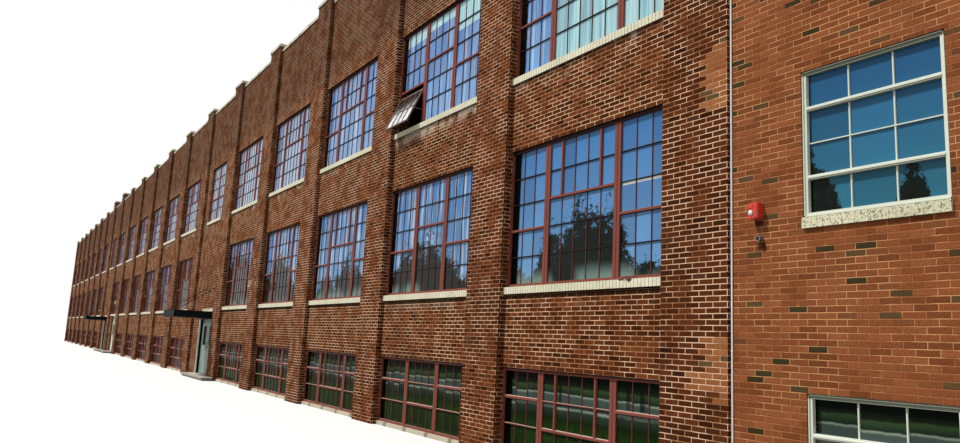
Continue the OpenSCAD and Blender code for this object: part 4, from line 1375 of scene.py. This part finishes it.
@dataclass
class NewWing:
    """The newer brick wing with its white windows. Sizes of bars are width, depth and taper."""
    plan: Plan = PLAN
    bar: Point = (1.8, 1.8, 0.2)
    crossbar: Point = (1.6, 2.2, 0.2)
    rail_lip: Point = (2.4, 1.3, 0.3)
    edge_lip: Point = (1.4, 1.6, 0.2)
    lip_in: float = 1.5
    lip_back: float = 4.9
    glass_in: float = 0.2

    # The heavy rails' rows in a window of four rows and of three
    RAILS = {4: (1, 3), 3: (2,)}

    def dress(self) -> None:
        """Gives the wing's CAD nodes their finishes."""
        WARDROBE.dress("new_clay_brick", "new_front_wall", "new_rear_wall", "new_end_wall")
        WARDROBE.dress("newer_sill_brick", "new_wing_sills")
        WARDROBE.dress("white_window_paint", "new_window_frames")

    def build_windows(self) -> None:
        """Builds the white glazing bars and the panes."""
        plan = self.plan
        bars = Piece("new_window_bars", "white_window_paint", "white_frame")
        glass = Glazing("new_window_panes", "new_window_glass")
        low = Glazing("new_low_panes", "new_low_glass")
        for number in range(plan.new_count):
            x = plan.old_l + plan.new_margin + number * plan.new_pitch
            for z, high, rows, panes in ((plan.new_sill, plan.new_window_h, 4, glass),
                                         (plan.new_sill + plan.storey, plan.new_window_h, 4, glass),
                                         (plan.new_low, plan.low_head - plan.new_low, 3, low)):
                self.window(bars, panes, plan.place(x, -plan.new_proud, z), high, rows)
                rear = plan.turned(x + plan.new_window_w, plan.depth + plan.new_proud, z, 180)
                self.window(bars, panes, rear, high, rows)
        bars.finish_piece()
        glass.finish_piece("new_window_glass")
        low.finish_piece()

    def window(self, bars: Piece, glass: Glazing, at: Matrix, high: float, rows: int) -> None:
        """Adds one white window of three pane columns.

        Args:
            bars: Piece that takes the bars.
            glass: Piece that takes the panes.
            at: Matrix from window millimetres to metres.
            high: Height of the window.
            rows: Rows of panes.
        """
        wide, edge = self.plan.new_window_w, self.plan.edge
        back = self.plan.new_frame_back + self.plan.new_frame_t
        face = back - self.lip_back
        step_x, step_z = (wide - 2 * edge) / 3, (high - 2 * edge) / rows
        for column in (1, 2):
            bars.upright(at, edge + column * step_x, (edge, high - edge), self.bar, back)
        for row in range(1, rows):
            size, plane = (self.rail_lip, face) if row in self.RAILS[rows] else (self.crossbar, back)
            bars.crossing(at, edge + row * step_z, (edge, wide - edge), size, plane)
        for x in (self.lip_in, wide - self.lip_in):
            bars.upright(at, x, (1, high - 1), self.edge_lip, face)
        for z in (self.lip_in, high - self.lip_in):
            bars.crossing(at, z, (1, wide - 1), self.edge_lip, face)
        for column in range(3):
            for row in range(rows):
                x, z = edge + column * step_x, edge + row * step_z
                glass.pane(at, (x, z), (x + step_x, z + step_z), back - self.glass_in, (wide, high))


@dataclass
class Entrances:
    """The three entrances: canopies, ties, steps, frames and door leaves."""
    plan: Plan = PLAN
    trim_w: float = 5.0
    trim_t: float = 1.8
    trim_turn: float = 3.0
    trim_lap: float = 0.5
    reveal_strip_t: float = 0.4
    drip_w: float = 2.0
    drip_in: float = 0.3
    drip_low: float = -3.0
    drip_high: float = 0.6
    drip_back: float = 0.4

    def dress(self) -> None:
        """Gives the entrances' CAD nodes their finishes."""
        leaves = [f"door_{number}_{side}" for number in (1, 2) for side in ("left", "right")]
        WARDROBE.dress("black_canopy_paint", "entrance_canopies", "canopy_ties")
        WARDROBE.dress("cast_concrete", "entrance_steps")
        WARDROBE.dress("white_door_paint", "white_frame", "white_panels", "white_door_leaf")
        WARDROBE.dress("grey_green_door_paint", "door_frames", *[leaf + "_leaf" for leaf in leaves])
        WARDROBE.dress("dark_door_glass", *[leaf + "_pane" for leaf in leaves], "white_door_pane",
                       "white_sidelight")

    def build_trims(self) -> None:
        """Builds the white corner strip and a black strip on the left reveal of each canopied doorway."""
        trims = Piece("doorway_trims", "white_conduit_paint", "white_frame")
        reveal_strips = Piece("doorway_reveal_strips", "black_canopy_paint", "canopy_metal")
        high = self.plan.door_head - self.plan.ground
        for bay in self.plan.doors:
            at = self.plan.place(self.plan.doorway_x(bay), 0, self.plan.ground)
            trims.bar(at, (-self.trim_w, -self.trim_t, 0), (self.trim_lap, 0, high))
            trims.bar(at, (0, -self.trim_t, 0), (self.trim_lap, self.trim_turn, high))
            reveal_strips.bar(at, (0, self.trim_turn, 0), (self.reveal_strip_t, self.plan.door_back, high))
        trims.finish_piece()
        reveal_strips.finish_piece()

    def build_canopy_edges(self) -> None:
        """Builds the thin drip edge around the top of each canopy."""
        plan, inset = self.plan, self.drip_in
        edges = Piece("canopy_drip_edges", "black_canopy_paint", "canopy_metal")
        out = plan.canopy_reach - self.drip_back
        for bay in plan.doors:
            at = plan.place(plan.bay_x(bay) + plan.opening - plan.canopy_w, 0, plan.canopy_z + plan.canopy_t)
            edges.bar(at, (inset, -out, self.drip_low),
                      (plan.canopy_w - inset, -out + self.drip_w, self.drip_high))
            for x in (inset, plan.canopy_w - inset - self.drip_w):
                edges.bar(at, (x, -out, self.drip_low), (x + self.drip_w, -2, self.drip_high))
        edges.finish_piece(bevel_mm=0.2)


@dataclass
class Fittings:
    """Small things on the walls, and the floors and roof."""
    plan: Plan = PLAN
    clamp_heights: tuple[float, ...] = (40, 180, 330, 480, 630, 780, 930, 1080)
    clamp_h: float = 2.2
    clamp_t: float = 0.3
    lens_at: Pair = (3.9, 6.4)
    lens_r: float = 2.7
    lens_flat: float = 0.55
    ring_w: float = 0.5
    ring_t: float = 0.7

    # Lowest and highest corner of each raised part of the alarm's panel, and its taper
    RAISED = (((7.8, -0.9, 1.2), (12.4, 0, 15.8), 0.5), ((0.8, -0.6, 11.2), (7.0, 0, 15.8), 0.4))

    def dress(self) -> None:
        """Gives the remaining CAD nodes their finishes."""
        WARDROBE.dress("white_conduit_paint", "joint_conduit")
        WARDROBE.dress("red_alarm_enamel", "alarm_box")
        WARDROBE.dress("tan_lamp_enamel", "wall_lamps")
        WARDROBE.dress("galvanised_steel", "pipe_stub")
        WARDROBE.dress("cast_concrete", "ground_floor")
        WARDROBE.dress("worn_floorboards", "first_floor", "first_floor_front", "second_floor")
        WARDROBE.dress("roofing_felt", "roof_deck")

    def build_clamps(self) -> None:
        """Builds the clamps that hold the conduit to the newer wall."""
        plan, y = self.plan, -self.plan.conduit_r
        clamps = Piece("conduit_clamps", "white_conduit_paint", "conduit")
        for z in self.clamp_heights:
            at = plan.place(plan.old_l + plan.conduit_gap + plan.conduit_r, -plan.new_proud, z)
            clamps.rod(at, (0, y, 0), (0, y, self.clamp_h), plan.conduit_r + self.clamp_t, 16)
        clamps.finish_piece()

    def build_alarm(self) -> None:
        """Builds the alarm's round strobe lens and the raised panel beside it."""
        plan, (x, z) = self.plan, self.lens_at
        at = plan.place(plan.old_l + plan.alarm_in, -plan.new_proud - plan.alarm_d, plan.alarm_z)
        ring = Piece("alarm_strobe_ring", "galvanised_steel", "alarm")
        ring.rod(at, (x, 0, z), (x, -self.ring_t, z), self.lens_r + self.ring_w, 24)
        ring.finish_piece()
        lens = Piece("alarm_strobe_lens", "strobe_lens", "alarm")
        dome = bmesh.ops.create_uvsphere(lens.mesh, u_segments=24, v_segments=12, radius=self.lens_r)["verts"]
        seat = at @ Matrix.Translation((x, 0.1 - self.ring_t, z)) @ Matrix.Diagonal((1, self.lens_flat, 1, 1))
        bmesh.ops.transform(lens.mesh, matrix=seat, verts=dome)
        lens.finish_piece()
        panel = Piece("alarm_sounder", "red_alarm_enamel", "alarm")
        for low, high, taper in self.RAISED:
            panel.bar(at, low, high, taper)
        panel.finish_piece(bevel_mm=0.15)


@dataclass
class Studio:
    """Plain pale floor, soft light and the camera at the photograph's place."""
    camera_mm: Point = (10046.8, -707.0, 172.0)
    yaw: float = 31.83
    pitch: float = 9.33
    roll: float = 2.88
    lens_mm: float = 28.56
    sensor_mm: float = 36.0
    clip: Pair = (0.01, 200.0)
    floor_half: float = 60.0
    sun_energy: float = 3.4
    sun_spread: float = 5.0
    sun_from: Point = (-0.35, -0.62, 1.05)
    sky_light: float = 0.55

    def add_object(self, name: str, data: bpy.types.ID) -> bpy.types.Object:
        """Makes an object of some data and links it to the scene.

        Args:
            name: Name of the object.
            data: Mesh, light or camera.

        Returns:
            The object.
        """
        made = bpy.data.objects.new(name, data)
        bpy.context.scene.collection.objects.link(made)
        return made

    def build(self) -> None:
        """Makes the floor, the lights, the world and the camera."""
        self.build_floor()
        self.build_lights()
        self.build_world()
        self.build_camera()

    def build_floor(self) -> None:
        """Makes the floor, a little darker where it only lights the walls."""
        mesh = bmesh.new()
        bmesh.ops.create_grid(mesh, x_segments=1, y_segments=1, size=self.floor_half)
        data = bpy.data.meshes.new("studio_floor")
        mesh.to_mesh(data)
        mesh.free()
        net = Net.material("studio_floor_paint")
        colour = net.blend(net.mirrored(), "#8c8c88", "#ececea")
        net.feed(net.shader, {"Base Color": colour, "Roughness": 0.9})
        data.materials.append(net.owner)
        self.add_object("studio_floor", data)

    def build_lights(self) -> None:
        """Makes one soft sun from the left front."""
        lamp = bpy.data.lights.new("soft_sun", "SUN")
        lamp.energy = self.sun_energy
        lamp.angle = math.radians(self.sun_spread)
        sun = self.add_object("soft_sun", lamp)
        sun.rotation_euler = Vector(self.sun_from).to_track_quat("Z", "Y").to_euler()

    def build_world(self) -> None:
        """Makes the world: an even pale light, and white where it is seen."""
        world = bpy.data.worlds.new("studio_world")
        bpy.context.scene.world = world
        world.use_nodes = True
        net, nodes = Net(world), world.node_tree.nodes
        net.feed(nodes["Background"], {"Color": linear("#fbf8f2"), "Strength": self.sky_light})
        view = net.add("Background", {"Color": linear("#ffffff"), "Strength": 1.0})
        shown = {0: net.mirrored(), 1: nodes["Background"].outputs[0], 2: view.outputs[0]}
        net.feed(nodes["World Output"], {"Surface": net.add("MixShader", shown).outputs[0]})

    def build_camera(self) -> None:
        """Makes the camera that was fitted to the photograph."""
        yaw, pitch, roll = (math.radians(a) for a in (self.yaw, self.pitch, self.roll))
        ahead = Vector((-math.cos(yaw) * math.cos(pitch), math.sin(yaw) * math.cos(pitch), math.sin(pitch)))
        right = ahead.cross(Vector((0, 0, 1))).normalized()
        up = right.cross(ahead)
        side = right * math.cos(roll) + up * math.sin(roll)
        top = -right * math.sin(roll) + up * math.cos(roll)
        turn = Matrix((side, top, -ahead)).transposed().to_4x4()
        lens = bpy.data.cameras.new("photo_camera")
        lens.sensor_fit = "HORIZONTAL"
        lens.sensor_width = self.sensor_mm
        lens.lens = self.lens_mm
        lens.clip_start, lens.clip_end = self.clip
        camera = self.add_object("photo_camera", lens)
        camera.matrix_world = Matrix.Translation(PLAN.origin() + Vector(self.camera_mm) * MM) @ turn
        bpy.context.scene.camera = camera


def main() -> None:
    """Builds the building's looks in order."""
    logging.basicConfig(level=logging.INFO, format="%(message)s")
    bpy.context.scene.view_settings.view_transform = "Standard"
    Studio().build()
    old, new, entrances, fittings = OldWing(), NewWing(), Entrances(), Fittings()
    for step in (old.dress, old.build_windows, old.build_vent, new.dress, new.build_windows, entrances.dress,
                 entrances.build_trims, entrances.build_canopy_edges, fittings.dress, fittings.build_clamps,
                 fittings.build_alarm):
        step()


if __name__ == "__main__":
    main()
